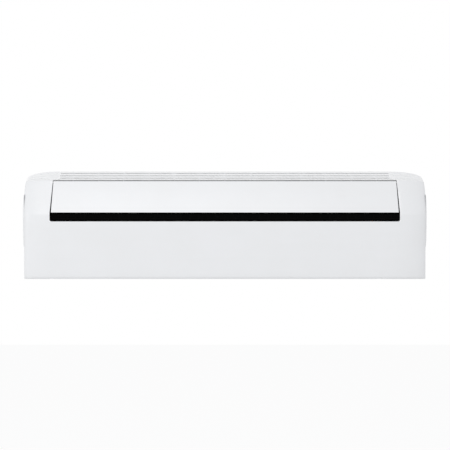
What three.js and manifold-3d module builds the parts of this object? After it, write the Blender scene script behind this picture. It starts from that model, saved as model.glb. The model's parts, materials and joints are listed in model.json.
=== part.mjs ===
// Mini split indoor unit: a wall-mounted air conditioner body, 1120 x 299 x 232 mm.
// Millimetres, +Z up, +X to the right as seen from the room; the wall is the plane y = 0, the unit faces -Y.
// Cross-sections are written as [depth from the wall, height] pairs; section() makes solids of them along X.
import * as THREE from 'three';
import { mergeVertices } from 'three/addons/utils/BufferGeometryUtils.js';
import Module from 'manifold-3d';

const wasm = await Module();
wasm.setup();

// Driving dimensions
const halfWidth = 555; // flat side of the casing, without the end caps
const halfHeight = 149.2;
const bodyDepth = 232; // wall to the crease across the front
const fromEnd = inward => halfWidth - inward;
const fromFront = inward => bodyDepth - inward;
const fromTop = down => halfHeight - down;
const wall = 3; // moulded casing wall
const gap = 0.3; // fitted faces that touch
const play = 1.2; // beside a moving edge
const endRound = 93; // length of each rounded end of the casing
const endRecess = 28; // how far the front falls back at each end
const endDroop = 20; // how far the top falls at each end
const creaseZ = 31;
const flapTop = { depth: fromFront(32), z: 121.6 };
const topSlope = { depth: fromFront(142), nose: fromFront(44), noseZ: 126.4 };
const slot = { low: 9.7, high: 34.5, halfWidth: fromEnd(71.3), corner: 5.5 };
const flapSkin = 2.6;
const flapHalf = { top: fromEnd(81.1), low: fromEnd(74.8) };
const capSwell = 4.7; // how far each end cap stands out at its middle
const capSpan = { low: -61, high: 84 };
const grilleSplit = { z: 112, depth: fromFront(49) }; // seam between the top grille and the casing
const grilleSlots = 6;
const grilleGap = 9;
const grilleFirst = 25.4; // wall to the middle of the first slot
const grillePitch = (grilleSplit.depth - 10.6 - grilleFirst) / (grilleSlots - 1);
const grilleSlotHalf = fromEnd(97);
const filterExit = 6.5; // slit that the filters slide out of
const filterThick = 3;
const filterPlane = { low: [fromFront(17), 1], high: [fromFront(43), 119] };
const filterRim = 6;
const filterPanes = 5;
const filterSplitX = -33; // between the two filters
const coilSpan = { left: -fromEnd(87.3), right: fromEnd(151.3) };
const coilThick = 25;
const endPlate = 1.6;
const fan = {
  depth: fromFront(120), z: -42, radius: 52, hub: 40, left: -fromEnd(95), right: fromEnd(139),
  blades: 18, discs: 1, shaft: 4,
};
const scrollGap = 5; // fan to scroll at its tightest
const scrollGrowth = 15;
const backWall = { near: 13, far: 16 };
const pipeRoom = { top: -88, far: 48 }; // channel for pipes behind the lower chassis
const endWall = { left: -fromEnd(77), right: fromEnd(130), thick: 3 };
const outlet = { near: fromFront(66), far: fromFront(13), left: -fromEnd(83), right: fromEnd(133) };
const outletMiddle = (outlet.left + outlet.right) / 2;
const vanePivot = { depth: fromFront(62.5), z: -fromTop(5.2) };
const vaneThick = 2.4;
const guides = {
  perSide: 4, pitch: fromEnd(139) / 4, start: fromEnd(135) / 6, long: 30, tall: 44, thick: 1.6, crank: 14,
};
const guidePlane = { depth: fromFront(84), lean: 35 };
const box = {
  left: fromEnd(118), right: fromEnd(23), back: fromFront(72), front: fromFront(30), low: -40, high: 58, wall: 2.4,
};
const motor = { left: fromEnd(119), right: fromEnd(55), radius: 41 };
const plate = { halfWidth: fromEnd(175), low: -70, high: 120, thick: 1.5 };
const screwHead = 4.2;
const drain = { depth: fromFront(40), z: -56, bore: 7 };
const pipeEnd = -fromEnd(125); // where both flare nuts sit
const clampX = -100;
const pipeRoutes = [
  { radius: 6.35, exit: { depth: fromFront(132), z: 97 },
    drop: { x: fromEnd(115), depth: 32 }, run: { depth: 30, z: -110 },
    nut: { radius: 13, long: 26 } },
  { radius: 3.2, exit: { depth: fromFront(72), z: 92 },
    drop: { x: fromEnd(103), depth: 32 }, run: { depth: 30, z: -132 },
    nut: { radius: 9, long: 22 } },
];

// Materials
const finish = (color, roughness, metalness = 0) =>
  () => new THREE.MeshStandardMaterial({ color, roughness, metalness });
const white = finish(0xf0f1f3, 0.35);
const black = finish(0x0d0d0e, 0.6);
const greyPlastic = finish(0xc9cbcd, 0.5);
const darkPlastic = finish(0x2a2c2f, 0.5);
const zinc = finish(0xb9bdc1, 0.4, 0.8);
const aluminium = finish(0xc4c8cc, 0.4, 0.9);
const copper = finish(0xb87348, 0.35, 0.9);
const brass = finish(0xc9a24e, 0.35, 0.9);
const rubber = finish(0x1b1b1c, 0.9);
const mesh = finish(0x8f969c, 0.8);
const green = finish(0x1f5a3a, 0.5);

// Solids
const DEG = Math.PI / 180;
const alongX = new THREE.Matrix4().makeBasis(
  new THREE.Vector3(0, -1, 0), new THREE.Vector3(0, 0, 1), new THREE.Vector3(-1, 0, 0));

function solid(geometry) {
  geometry.deleteAttribute('normal');
  geometry.deleteAttribute('uv');
  const merged = mergeVertices(geometry, 1e-4);
  return new wasm.Manifold(new wasm.Mesh({
    numProp: 3,
    vertProperties: new Float32Array(merged.attributes.position.array),
    triVerts: new Uint32Array(merged.index.array),
  }));
}

function geometryOf(manifold) {
  const made = manifold.getMesh();
  const geometry = new THREE.BufferGeometry();
  geometry.setAttribute('position', new THREE.BufferAttribute(new Float32Array(made.vertProperties), 3));
  geometry.setIndex(new THREE.BufferAttribute(new Uint32Array(made.triVerts), 1));
  geometry.computeVertexNormals();
  return geometry;
}

const join = (...parts) => parts.flat(Infinity).reduce((sum, part) => sum.add(part));
const cut = (body, ...tools) => tools.flat(Infinity).reduce((rest, tool) => rest.subtract(tool), body);

// A [depth, height] outline carried along X
function section(points, x0, x1) {
  const shape = new THREE.Shape(points.map(([d, z]) => new THREE.Vector2(d, z)));
  const geometry = new THREE.ExtrudeGeometry(shape, { depth: x1 - x0, bevelEnabled: false });
  return solid(geometry.applyMatrix4(alongX).translate(x1, 0, 0));
}

// An [x, height] outline carried from one depth to another
function facing(points, d0, d1) {
  const shape = new THREE.Shape(points.map(([x, z]) => new THREE.Vector2(x, z)));
  const geometry = new THREE.ExtrudeGeometry(shape, { depth: d1 - d0, bevelEnabled: false });
  return solid(geometry.rotateX(Math.PI / 2).translate(0, -d0, 0));
}

function block(x0, x1, d0, d1, z0, z1) {
  return solid(new THREE.BoxGeometry(x1 - x0, d1 - d0, z1 - z0)
    .translate((x0 + x1) / 2, -(d0 + d1) / 2, (z0 + z1) / 2));
}

function rodX(depth, z, radius, x0, x1, sides = 20) {
  return solid(new THREE.CylinderGeometry(radius, radius, x1 - x0, sides)
    .rotateZ(Math.PI / 2).translate((x0 + x1) / 2, -depth, z));
}

function rodY(x, z, radius, d0, d1, sides = 20) {
  return solid(new THREE.CylinderGeometry(radius, radius, d1 - d0, sides).translate(x, -(d0 + d1) / 2, z));
}

function rodZ(x, depth, radius, z0, z1, sides = 20) {
  return solid(new THREE.CylinderGeometry(radius, radius, z1 - z0, sides)
    .rotateX(Math.PI / 2).translate(x, -depth, (z0 + z1) / 2));
}

// A flat slab along the line from one [depth, height] to another, between two offsets to its left
function slab(from, to, thick, start = 0) {
  const length = Math.hypot(to[0] - from[0], to[1] - from[1]);
  const along = [(to[0] - from[0]) / length, (to[1] - from[1]) / length];
  const shift = ([depth, z], by) => [depth - along[1] * by, z + along[0] * by];
  return [shift(from, start), shift(to, start), shift(to, thick), shift(from, thick)];
}

function tube(points, radius, sides, steps) {
  const path = new THREE.CatmullRomCurve3(points.map(([x, d, z]) => new THREE.Vector3(x, -d, z)), false,
    'catmullrom', 0.3);
  const ring = new THREE.Shape(new THREE.EllipseCurve(0, 0, radius, radius).getPoints(sides).slice(0, sides));
  return solid(new THREE.ExtrudeGeometry(ring, { steps, extrudePath: path, bevelEnabled: false }));
}

// Casing: one outline carried through rounded ends
const taper = { from: 85, to: 127, by: 4, power: 1.6 }; // the ends narrow towards the top
const openBack = 14;
const backOverrun = 20;
const frontLean = (creaseZ - flapTop.z) / (bodyDepth - flapTop.depth);
const frontDepthAt = z => bodyDepth + (z - creaseZ) / frontLean;
const topZAt = depth => halfHeight
  + (topSlope.noseZ - halfHeight) * Math.max(0, depth - topSlope.depth) / (topSlope.nose - topSlope.depth);
const widthAt = z => {
  const share = Math.max(0, (Math.min(z, taper.to) - taper.from) / (taper.to - taper.from));
  return halfWidth - taper.by * share ** taper.power;
};

// [depth, height, share of the end droop], counted round from the low back corner
function casingOutline(inset, back) {
  const slant = inset * 1.06;
  const front = (z, droop = 0) => [frontDepthAt(z) - slant, z, droop];
  return [
    [back, -halfHeight + inset, 0],
    [fromFront(15) - inset / 2, -halfHeight + inset, 0],
    [fromFront(9.5) - inset, -fromTop(3.7) + inset * 0.8, 0],
    [fromFront(7.5) - inset, -fromTop(11.2) + inset / 2, 0],
    [fromFront(4) - inset, -90, 0],
    [fromFront(1) - inset, -20, 0],
    [bodyDepth - inset, 10, 0],
    [bodyDepth - inset, creaseZ - inset / 4, 0],
    front(creaseZ + 6),
    front(taper.from),
    front(taper.from + 21, 0.05),
    [flapTop.depth - slant, flapTop.z - inset * 0.4, 0.2],
    [flapTop.depth - 3 - inset * 0.8, flapTop.z + 2.6 - inset * 0.8, 0.22],
    [topSlope.nose, topSlope.noseZ - inset, 0.3],
    [topSlope.depth, halfHeight - inset, 1],
    [back, halfHeight - inset, 1],
    [back, taper.from + 21, 0],
    [back, taper.from, 0],
  ];
}

const endSteps = [90, 75, 60, 45, 30, 15, 0];

// Carries an outline from the right end to the left, through the rounded ends
function casingLoft(outline, inset) {
  const stations = [...endSteps.map(t => [1, t]), ...[...endSteps].reverse().map(t => [-1, t])];
  const positions = [];
  for (const [side, degrees] of stations) {
    const turn = 1 - Math.cos(degrees * DEG);
    const reach = Math.sin(degrees * DEG);
    for (const [depth, z, droop] of outline) {
      const start = halfWidth - endRound;
      const x = start + (widthAt(z) - inset - start) * reach;
      const back = endRecess * turn * Math.max(0, (depth - openBack) / (bodyDepth - openBack));
      positions.push(side * x, -(depth - back), z - endDroop * turn * droop);
    }
  }
  const n = outline.length;
  const faces = [];
  for (let k = 0; k < stations.length - 1; k += 1) {
    for (let j = 0; j < n; j += 1) {
      const [a, b] = [k * n + j, k * n + (j + 1) % n];
      faces.push(a, b, b + n, a, b + n, a + n);
    }
  }
  const contour = outline.map(([depth, z]) => new THREE.Vector2(depth, z));
  const last = (stations.length - 1) * n;
  for (const [a, b, c] of THREE.ShapeUtils.triangulateShape(contour, [])) {
    faces.push(a, c, b, last + a, last + b, last + c);
  }
  const geometry = new THREE.BufferGeometry();
  geometry.setAttribute('position', new THREE.Float32BufferAttribute(positions, 3));
  geometry.setIndex(faces);
  return solid(geometry);
}

const outerForm = casingLoft(casingOutline(0, openBack), 0);
const shell = cut(outerForm, casingLoft(casingOutline(wall, -backOverrun), wall));

// The part of the shell that the top grille takes, grown by a clearance
function grilleRegion(clearance) {
  const low = grilleSplit.z - clearance;
  const front = grilleSplit.depth + clearance;
  const over = halfHeight + 20;
  return casingLoft([
    [-backOverrun, low, -0.27], [front, low, -0.27], [front, over, 0], [-backOverrun, over, 0],
  ], -10);
}

// Flap opening and inlet slot, as one [x, height] outline
const lipZ = flapTop.z + 2;
function mouthOutline() {
  const { low, high, halfWidth: half, corner } = slot;
  const topHalf = flapHalf.top + play + gap;
  const right = [[half - corner, low]];
  for (const t of [-60, -30, 0]) {
    right.push([half - corner + corner * Math.cos(t * DEG), low + corner + corner * Math.sin(t * DEG)]);
  }
  right.push([half, high], [topHalf, lipZ]);
  return [...right, ...right.map(([x, z]) => [-x, z]).reverse()];
}

// The flap hangs on two pins that turn in ears behind the casing's skin
const flapHinge = { depth: flapTop.depth - 3.5, z: flapTop.z - 3.6, pin: 2, barrel: 3, reach: 4.4 };
const ear = { near: fromEnd(78.1), far: fromEnd(73.5) };
function flapEar(side) {
  const [x0, x1] = side > 0 ? [ear.near, ear.far] : [-ear.far, -ear.near];
  const { depth, z } = flapHinge;
  return section([[depth - 6, z - 9], [frontDepthAt(z - 9) - 1, z - 9],
    [frontDepthAt(z + 3) - 1.4, z + 3], [depth - 6, z + 3]], x0, x1);
}

const screwXs = [-fromEnd(40), fromEnd(65)];
const screwDepth = 75;
const screwHole = 2.5;

function frontCasing() {
  const slitFront = grilleSplit.depth + filterExit;
  const { depth, z, pin } = flapHinge;
  const pinHoles = [-1, 1].map(side => rodX(depth, z, pin + 0.4, ...[ear.near - 3, ear.far - 1.5]
    .map(x => x * side).sort((a, b) => a - b), 16));
  return cut(join(cut(shell,
    grilleRegion(gap),
    facing(mouthOutline(), grilleSplit.depth - 20, bodyDepth + 20),
    block(-fromEnd(81), fromEnd(81), grilleSplit.depth, slitFront, lipZ - 15, halfHeight),
    block(endWall.left - 6, endWall.right + 7, -backOverrun, outlet.far + 0.8,
      -halfHeight - 5, -halfHeight + wall + 0.1),
    screwXs.map(x => rodZ(x, screwDepth, screwHole, -halfHeight - 5, -halfHeight + 10, 14)),
    screwXs.map(x => rodZ(x, screwDepth, screwHead + 0.7, -halfHeight - 5, -halfHeight + 1.6, 20))),
  flapEar(1), flapEar(-1)), pinHoles);
}

function topGrille() {
  const slots = Array.from({ length: grilleSlots }, (_, k) => {
    const centre = grilleFirst + k * grillePitch;
    const [near, far] = [centre - grilleGap / 2, centre + grilleGap / 2];
    return block(-grilleSlotHalf, grilleSlotHalf, near, far, 100, halfHeight + 5);
  });
  const ribFront = grilleSplit.depth - 2;
  const under = Array.from({ length: 7 }, (_, k) => {
    const x = fromEnd(135) * (k / 3 - 1);
    return section([[openBack + 4, halfHeight - wall + 0.5], [topSlope.depth, halfHeight - wall + 0.5],
      [ribFront, topZAt(ribFront) - wall + 0.5], [ribFront, topZAt(ribFront) - wall - 5],
      [topSlope.depth, halfHeight - wall - 6], [openBack + 4, halfHeight - wall - 6]], x - 1, x + 1);
  });
  const tops = shell.intersect(grilleRegion(0));
  return join(cut(tops, slots), under);
}

function frontFlap() {
  const outer = z => frontDepthAt(z);
  const zTop = flapTop.z;
  const zLow = slot.high;
  const skin = section([[outer(zLow), zLow], [outer(zTop), zTop], [outer(zTop) - 1.2, zTop + 0.4],
    [outer(zTop) - flapSkin * 1.06, zTop - 0.6], [outer(zLow) - flapSkin * 1.06, zLow + 0.6]],
  -halfWidth, halfWidth);
  const { top, low } = flapHalf;
  const trim = facing([[low, zLow - 5], [top, zTop + 5], [-top, zTop + 5], [-low, zLow - 5]],
    grilleSplit.depth - 30, bodyDepth + 20);
  const { depth, z, pin, barrel, reach } = flapHinge;
  const knuckle = x => join(rodX(depth, z, barrel, x - 11, x + 11, 16),
    section([[depth - 1, z - 2.6], [outer(z - 3) - 1, z - 3], [outer(z + 2) - 1.5, z + 2], [depth, z + 2.5]],
      x - 11, x + 11));
  const pins = [1, -1].map(side => {
    const [x0, x1] = [flapHalf.top - 3, flapHalf.top + reach].map(x => x * side).sort((a, b) => a - b);
    return rodX(depth, z, pin, x0, x1, 16);
  });
  const ribs = [-300, 0, 300].map(x => section([[outer(50) - 6, 50], [outer(50) - 2, 50],
    [outer(108) - 2, 108], [outer(108) - 4, 108]], x - 1, x + 1));
  return join(skin.intersect(trim), knuckle(top - 12), knuckle(12 - top), pins, ribs);
}

// Black grid behind the slot; its shelf carries the filters
const slotGrid = { back: fromFront(21), front: fromFront(5.2), low: 2, high: 47, halfWidth: fromEnd(70), blades: 3 };
function slotGrille() {
  const { back, front, low, high, halfWidth: half, blades } = slotGrid;
  const seat = filterPlane.low;
  const lowBar = section([[back, low - 4], [front, low - 4], [front, low + 7], [seat[0] + 5, low + 7],
    [seat[0] + 5, seat[1] - 1], [back, seat[1] - 1]], -half, half);
  const bladesAcross = Array.from({ length: blades }, (_, k) => {
    const z = low + 16 + k * 9.5;
    return section([[front - 6.5, z], [front - 1.2, z - 1.6], [front - 1.2, z], [front - 6.5, z + 1.6]],
      -half + 1, half - 1);
  });
  const postXs = Array.from({ length: 11 }, (_, k) => -half + 1.5 + k * (2 * half - 3) / 10);
  const posts = postXs.map(x => section([[front - 6.5, low], [front - 1.8, low], [front - 1.8, 33],
    [front - 4, high - 6], [front - 6.5, high - 4]], x - 1.5, x + 1.5));
  return join(lowBar, bladesAcross, posts);
}

function endCap(side) {
  const { low, high } = capSpan;
  const middle = (low + high) / 2 + 18;
  const swell = z => {
    const reach = z > middle ? high - middle : middle - low;
    return 1.2 + (capSwell - 1.2) * Math.sqrt(Math.max(0, 1 - ((z - middle) / reach) ** 2));
  };
  const steps = 10;
  const outer = Array.from({ length: steps + 1 }, (_, k) => {
    const z = low + (high - low) * k / steps;
    return [halfWidth + gap + swell(z), z];
  });
  const outline = [[halfWidth + gap, low], ...outer, [halfWidth + gap, high]];
  return facing(outline.map(([x, z]) => [x * side, z]), 22, fromFront(34));
}

// Filters: a frame of bars round a fine net, one either side of the middle
function filter(x0, x1) {
  const { low, high } = filterPlane;
  const length = Math.hypot(high[0] - low[0], high[1] - low[1]);
  const at = s => [low[0] + (high[0] - low[0]) * s / length, low[1] + (high[1] - low[1]) * s / length];
  const pitch = (x1 - x0 - filterRim) / filterPanes;
  const bar = 2.4;
  const panes = Array.from({ length: filterPanes }, (_, k) => section(
    slab(at(filterRim), at(length - filterRim), 0.9, -1),
    x0 + filterRim + k * pitch, x0 + filterRim + (k + 1) * pitch - bar));
  const middle = (x0 + x1) / 2;
  const tab = section(slab(at(length - 4), at(length + 6), filterThick - 0.5, 0.4), middle - 22, middle + 22);
  return join(cut(section(slab(low, high, filterThick), x0, x1), panes), tab);
}

// Chassis: back wall, scroll round the fan, end walls and the floor of the outlet
const coilRearLow = [fromFront(191.3), 64.3];
const ring = (r, degrees) => [fan.depth + r * Math.cos(degrees * DEG), fan.z + r * Math.sin(degrees * DEG)];
const scrollRadius = degrees => fan.radius + scrollGap + scrollGrowth * (degrees - 135) / 135;
const scrollTurns = Array.from({ length: 10 }, (_, k) => 135 + 15 * k);
const floorLip = [outlet.near - 2, -halfHeight + 3.2];
const floorStart = ring(scrollRadius(270), 270);
const floorZAt = depth => floorStart[1]
  + (floorLip[1] - floorStart[1]) * (depth - floorStart[0]) / (floorLip[0] - floorStart[0]);

function scroll(x0, x1) {
  const inner = scrollTurns.map(a => ring(scrollRadius(a), a));
  const outer = scrollTurns.map(a => ring(scrollRadius(a) + wall, a));
  return section([...inner, floorLip, [floorLip[0], floorLip[1] - wall], ...outer.reverse()], x0, x1);
}

const endWallOutline = [[openBack, -84], [pipeRoom.far + 1, -84], [pipeRoom.far + 1, -fromTop(3.2)],
  [fromFront(56), -fromTop(3.2)], [fromFront(56), -126], [fromFront(27), -72], [fromFront(27), 44],
  [fromFront(52), 108],
  [fromFront(72), 124], [fromFront(137), 140], [openBack, 140]];
const screwTab = { near: 62, far: 88, half: 14, thick: 14 };
const coilPegs = [[fromFront(185), fromFront(174), 53, 66], [fromFront(46), fromFront(32), 28, 43]];

function chassis() {
  const { near, far } = backWall;
  const { left, right, thick } = endWall;
  const side = halfWidth - wall - gap;
  const low = -halfHeight + wall + gap;
  const half = [[side, pipeRoom.top - wall], [side, 30], [side - 6, 84], [fromEnd(17), 116], [fromEnd(35), 134],
    [fromEnd(75), 143], [fromEnd(95), 145.7]];
  const back = facing([...half, ...half.map(([x, z]) => [-x, z]).reverse()], near, far);
  const stepBack = block(-side, side, near, pipeRoom.far + wall, pipeRoom.top - wall, pipeRoom.top);
  const lower = block(-side, side, pipeRoom.far, pipeRoom.far + wall, low, pipeRoom.top);
  const strip = block(left, right + thick, pipeRoom.far, outlet.near - 2, -fromTop(0.2), -fromTop(3.4));
  const ends = [left, right].map(x => section(endWallOutline, x, x + thick));
  const tabs = screwXs.map(x => block(x - screwTab.half, x + screwTab.half, pipeRoom.far, screwTab.far, low,
    low + screwTab.thick));
  const ribs = [-300, -150, 0, 150, 300].map(x => section([[near, -60], [fan.depth - 62, -60], [fan.depth - 52, -20],
    [fan.depth - 52, 20], [near, 60]], x - 1, x + 1));
  const pegs = coilPegs.flatMap(([d0, d1, z0, z1]) => [
    block(left + 1, coilSpan.left - gap - endPlate - gap, d0, d1, z0, z1),
    block(coilSpan.right + gap + endPlate + gap, right + 1, d0, d1, z0, z1)]);
  const boxArm = block(right + 1, box.left - gap, box.back + 10, box.back + 30, 28, 38);
  const rearTrough = section([[near + 1, 30], [fromFront(171), 30], [fromFront(170), 44], [fromFront(172), 44],
    [fromFront(174), 33], [near + 1, 33]], left + 1, right + 1);
  const shelfReach = far + (coilRearLow[0] - far) * 0.77;
  const shelf = section([[near + 1, 60], [shelfReach, 60], [shelfReach, 62.5], [near + 1, 62.5]],
    left + 1, right + 1);
  const pads = [-340, 340].flatMap(x => [-40, 90].map(z => block(x - 12, x + 12, plate.thick + gap, near + 1,
    z - 12, z + 12)));
  const holes = [
    rodX(fan.depth, fan.z, 22, left - 5, left + 8, 28),
    rodX(fan.depth, fan.z, 30, right - 5, right + 8, 28),
    [left, right].map(x => rodX(drain.depth, drain.z, drain.bore, x - 1, x + thick + 1, 20)),
    [left, right].map(x => rodX(vanePivot.depth, vanePivot.z, 3.4, x - 5, x + 8, 14)),
    screwXs.map(x => rodZ(x, screwDepth, 1.9, low - 5, low + screwTab.thick - 3, 14)),
    pipeRoutes.map(({ radius, drop, exit }) => [
      rodZ(drop.x, drop.depth, radius + 1.5, pipeRoom.top - wall - 5, pipeRoom.top + 5, 20),
      rodX(exit.depth, exit.z, radius + 1.5, right - 5, right + 8, 20)])];
  const inside = section([...scrollTurns.map(a => ring(scrollRadius(a), a)), [fan.depth, fan.z]], left, right);
  const whole = join(back, stepBack, lower, strip, ends, tabs, pegs, boxArm, rearTrough, shelf, pads,
    cut(join(ribs), inside), scroll(left + 1, right + 1));
  return cut(whole, holes, guideSockets());
}

// Cross-flow fan: long curved blades between discs
function fanRotor() {
  const { depth, z, radius, hub, left, right, blades, discs, shaft } = fan;
  const blade = k => {
    const a = 360 * k / blades;
    const at = (r, turn) => [depth + r * Math.cos((a + turn) * DEG), z + r * Math.sin((a + turn) * DEG)];
    const middle = (hub + radius) / 2;
    return section([at(hub, 0), at(middle, 3.2), at(radius - 0.8, 8.4), at(radius - 0.8, 10.4), at(middle, 5.6),
      at(hub, 2.4)], left + 1, right - 1);
  };
  const disc = x => cut(rodX(depth, z, radius, x, x + 3, 24), rodX(depth, z, hub - 3, x - 1, x + 4, 16));
  const ends = [left, right - 3].map(x => rodX(depth, z, radius, x, x + 3, 24));
  const between = Array.from({ length: discs }, (_, k) => disc(left + (right - left) * (k + 1) / (discs + 1)));
  return join(ends, between, Array.from({ length: blades }, (_, k) => blade(k)),
    rodX(depth, z, shaft, left - 22, left + 1, 16), rodX(depth, z, shaft, right - 1, motor.left + 6, 16));
}

const bearing = { radius: 12, left: -fromEnd(75), right: -fromEnd(85) };
function fanBearing() {
  return cut(rodX(fan.depth, fan.z, bearing.radius, bearing.left, bearing.right, 24),
    rodX(fan.depth, fan.z, fan.shaft + gap, bearing.left - 1, bearing.right + 1, 16));
}

function bearingHolder() {
  const { depth, z } = fan;
  const x0 = endWall.left - gap - 5;
  const flange = section([[depth - 32, z - 14], [depth + 32, z - 14], [depth + 32, z + 14], [depth - 32, z + 14]],
    x0, endWall.left - gap);
  return cut(join(flange, rodX(depth, z, bearing.radius + 5, x0, bearing.right, 24)),
    rodX(depth, z, bearing.radius + gap, x0 - 1, bearing.right + 1, 24));
}

function fanMotor() {
  const { left, right, radius } = motor;
  const can = rodX(fan.depth, fan.z, radius, left, right, 32);
  return cut(join(can, rodX(fan.depth, fan.z, 14, right - 1, right + 5, 20)),
    rodX(fan.depth, fan.z, fan.shaft + gap, left - 1, left + 12, 16));
}

function motorClamp() {
  const { left, right, radius } = motor;
  const { depth, z } = fan;
  const band = cut(rodX(depth, z, radius + gap + 2.5, left + 26, right - 8, 32),
    rodX(depth, z, radius + gap, left, right, 32));
  const foot = block(left + 26, right - 8, backWall.far + gap, depth - radius + 8, z - 5, z + 5);
  return join(band, cut(foot, rodX(depth, z, radius + gap, left, right, 32)));
}

// Coil: three finned slabs, held by a plate at each end
const coilSections = {
  frontLower: slab([fromFront(30.4), -52.7], [fromFront(30.4), 30], coilThick),
  frontUpper: slab([fromFront(31.5), 46], [fromFront(80), 114], coilThick),
  rear: slab([fromFront(120), 116], coilRearLow, coilThick),
};
const plateOutline = [
  [56, -52.7], [29.8, -52.7], [29.8, 38], [31, 46.5], [79, 116.5], [122, 119], [192, 66], [178.5, 42],
  [106, 93.5], [101, 97], [56, 33]].map(([inward, z]) => [fromFront(inward), z]);

// Copper return bends: each joins two neighbouring tubes outside its plate
function returnBends(x, side) {
  const bend = ([[d0, z0], [d1, z1]]) => tube([[x, d0, z0], [x + side * 1.8, d0, z0],
    [x + side * 3, (d0 * 3 + d1) / 4, (z0 * 3 + z1) / 4], [x + side * 3, (d0 + d1 * 3) / 4, (z0 + z1 * 3) / 4],
    [x + side * 1.8, d1, z1], [x, d1, z1]], 2.2, 6, 8);
  const pairs = [[[43, -44], [43, -26]], [[43, -8], [43, 20]], [[48, 54], [59, 70]], [[149, 85], [164, 74]]];
  const leftOnly = [[[70, 85], [81, 100]], [[120, 106], [134, 96]]];
  return [...pairs, ...(side < 0 ? leftOnly : [])]
    .map(pair => bend(pair.map(([inward, z]) => [fromFront(inward), z])));
}

function coilPlate(side) {
  const x0 = side < 0 ? coilSpan.left - gap - endPlate : coilSpan.right + gap;
  const bends = returnBends(side < 0 ? x0 + 0.4 : x0 + endPlate - 0.4, side);
  return join(section(plateOutline, x0, x0 + endPlate), bends);
}

// Pipes leave the coil's right end, drop behind the motor and run left along the channel to flare nuts
function pipe({ radius, exit, drop, run }) {
  const start = coilSpan.right + gap + endPlate + gap;
  const bend = tube([
    [start, exit.depth, exit.z], [start + 12, exit.depth, exit.z], [endWall.right + 6, exit.depth, exit.z],
    [drop.x - 3, exit.depth - 6, exit.z - 1], [drop.x, drop.depth + 36, exit.z - 8],
    [drop.x, drop.depth + 10, exit.z - 18],
    [drop.x, drop.depth, exit.z - 32], [drop.x, drop.depth, -20], [drop.x, drop.depth, run.z + 22],
    [drop.x - 3, drop.depth - 1, run.z + 8], [drop.x - 12, run.depth, run.z], [drop.x - 30, run.depth, run.z]],
    radius, 10, 30);
  return join(bend, rodX(run.depth, run.z, radius, pipeEnd - 12, drop.x - 28, 16));
}

function flareNut({ radius, nut, run }) {
  const [x0, x1] = [pipeEnd - nut.long, pipeEnd];
  const collar = rodX(run.depth, run.z, nut.radius * 0.8, x0, x1, 20);
  return cut(join(rodX(run.depth, run.z, nut.radius, x0 + 4, x1 - 3, 6), collar),
    rodX(run.depth, run.z, radius + gap, x0 - 1, x1 + 1, 20));
}

function pipeClamp() {
  const low = Math.min(...pipeRoutes.map(({ radius, run }) => run.z - radius)) - 4;
  const high = Math.max(...pipeRoutes.map(({ radius, run }) => run.z + radius)) + 4;
  const { depth } = pipeRoutes[0].run;
  return cut(block(clampX - 6, clampX + 6, depth - 10, pipeRoom.far - gap, low, high),
    pipeRoutes.map(({ radius, run }) => rodX(run.depth, run.z, radius + gap, clampX - 10, clampX + 10, 20)));
}

function drainPan() {
  const placed = outline => outline.map(([inward, z]) => [fromFront(inward), z]);
  const outer = placed([[62, -42], [59, -42], [57, -53], [22, -53], [20, -40], [17, -40], [13.7, -100], [14.4, -126],
    [19, -126], [63, -76], [66, -62]]);
  const hollow = placed([[46, -58], [23, -58], [18.5, -104], [20, -118], [56, -78]]);
  const trough = section(outer, endWall.left + endWall.thick + gap, endWall.right - gap);
  return cut(trough,
    section(hollow, endWall.left, outletMiddle - 3), section(hollow, outletMiddle + 3, endWall.right),
    rodX(drain.depth, drain.z + 6, 2.4, endWall.right - 20, endWall.right + 1, 12));
}

function drainSpigot() {
  const x = endWall.right + 3 + gap;
  const { depth, z, bore } = drain;
  return cut(join(rodX(depth, z, bore + 2, x, x + 26, 20), rodX(depth, z, bore + 4, x, x + 2.5, 20)),
    rodX(depth, z, bore, x - 1, x + 27, 20));
}

function drainPlug() {
  const x = endWall.left - gap;
  const { depth, z, bore } = drain;
  return join(rodX(depth, z, bore + 2.5, x - 3, x, 20), rodX(depth, z, bore - 0.4, x - 1, x + 3, 20));
}

// Outlet vane and its drive
function outletVane() {
  const { near, far, left, right } = outlet;
  const { depth, z } = vanePivot;
  const low = -halfHeight + 0.2;
  const plateSection = [[near + 4, low + vaneThick], [near + 6, low], [far - 3, low], [far - 1, low + 1],
    [far - 1, low + vaneThick], [near + 12, low + vaneThick]];
  const barrel = rodX(depth, z, 3, left + 1, right - 1, 14);
  const web = section([[depth - 1.5, z], [depth + 2, z], [depth + 4.5, low + 1], [depth + 1.5, low + 1]],
    left + 1, right - 1);
  return join(section(plateSection, left + 1, right - 1), barrel, web,
    rodX(depth, z, 1.8, endWall.left + 0.5, left + 2, 14), rodX(depth, z, 1.8, right - 2, endWall.right + 5.5, 14));
}

function vaneBush() {
  const { depth, z } = vanePivot;
  const x = endWall.left;
  return cut(join(rodX(depth, z, 3.1, x - 1, x + 2.6, 14), rodX(depth, z, 4.8, x - 2.6, x - gap, 14)),
    rodX(depth, z, 2.1, x - 1, x + 3, 14));
}

function vaneMotor() {
  const { depth, z } = vanePivot;
  const x = endWall.right + 3 + gap;
  return cut(join(rodX(depth - 8, z + 13, 12, x, x + 15, 24), rodX(depth, z, 4.5, x, x + 3.2, 16),
    block(x, x + 2, depth - 22, depth + 3, z + 6, z + 20)), rodX(depth, z, 2.1, x - 1, x + 4, 14));
}

// Guide vanes turn on pins in the outlet floor; a bar links the cranks of each group
const guideTilt = new THREE.Matrix4().makeRotationX(guidePlane.lean * DEG);
const guidePin = { radius: 1.6, play: 0.5, crankRadius: 1.2 };
const guideFoot = 1.4;

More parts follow.
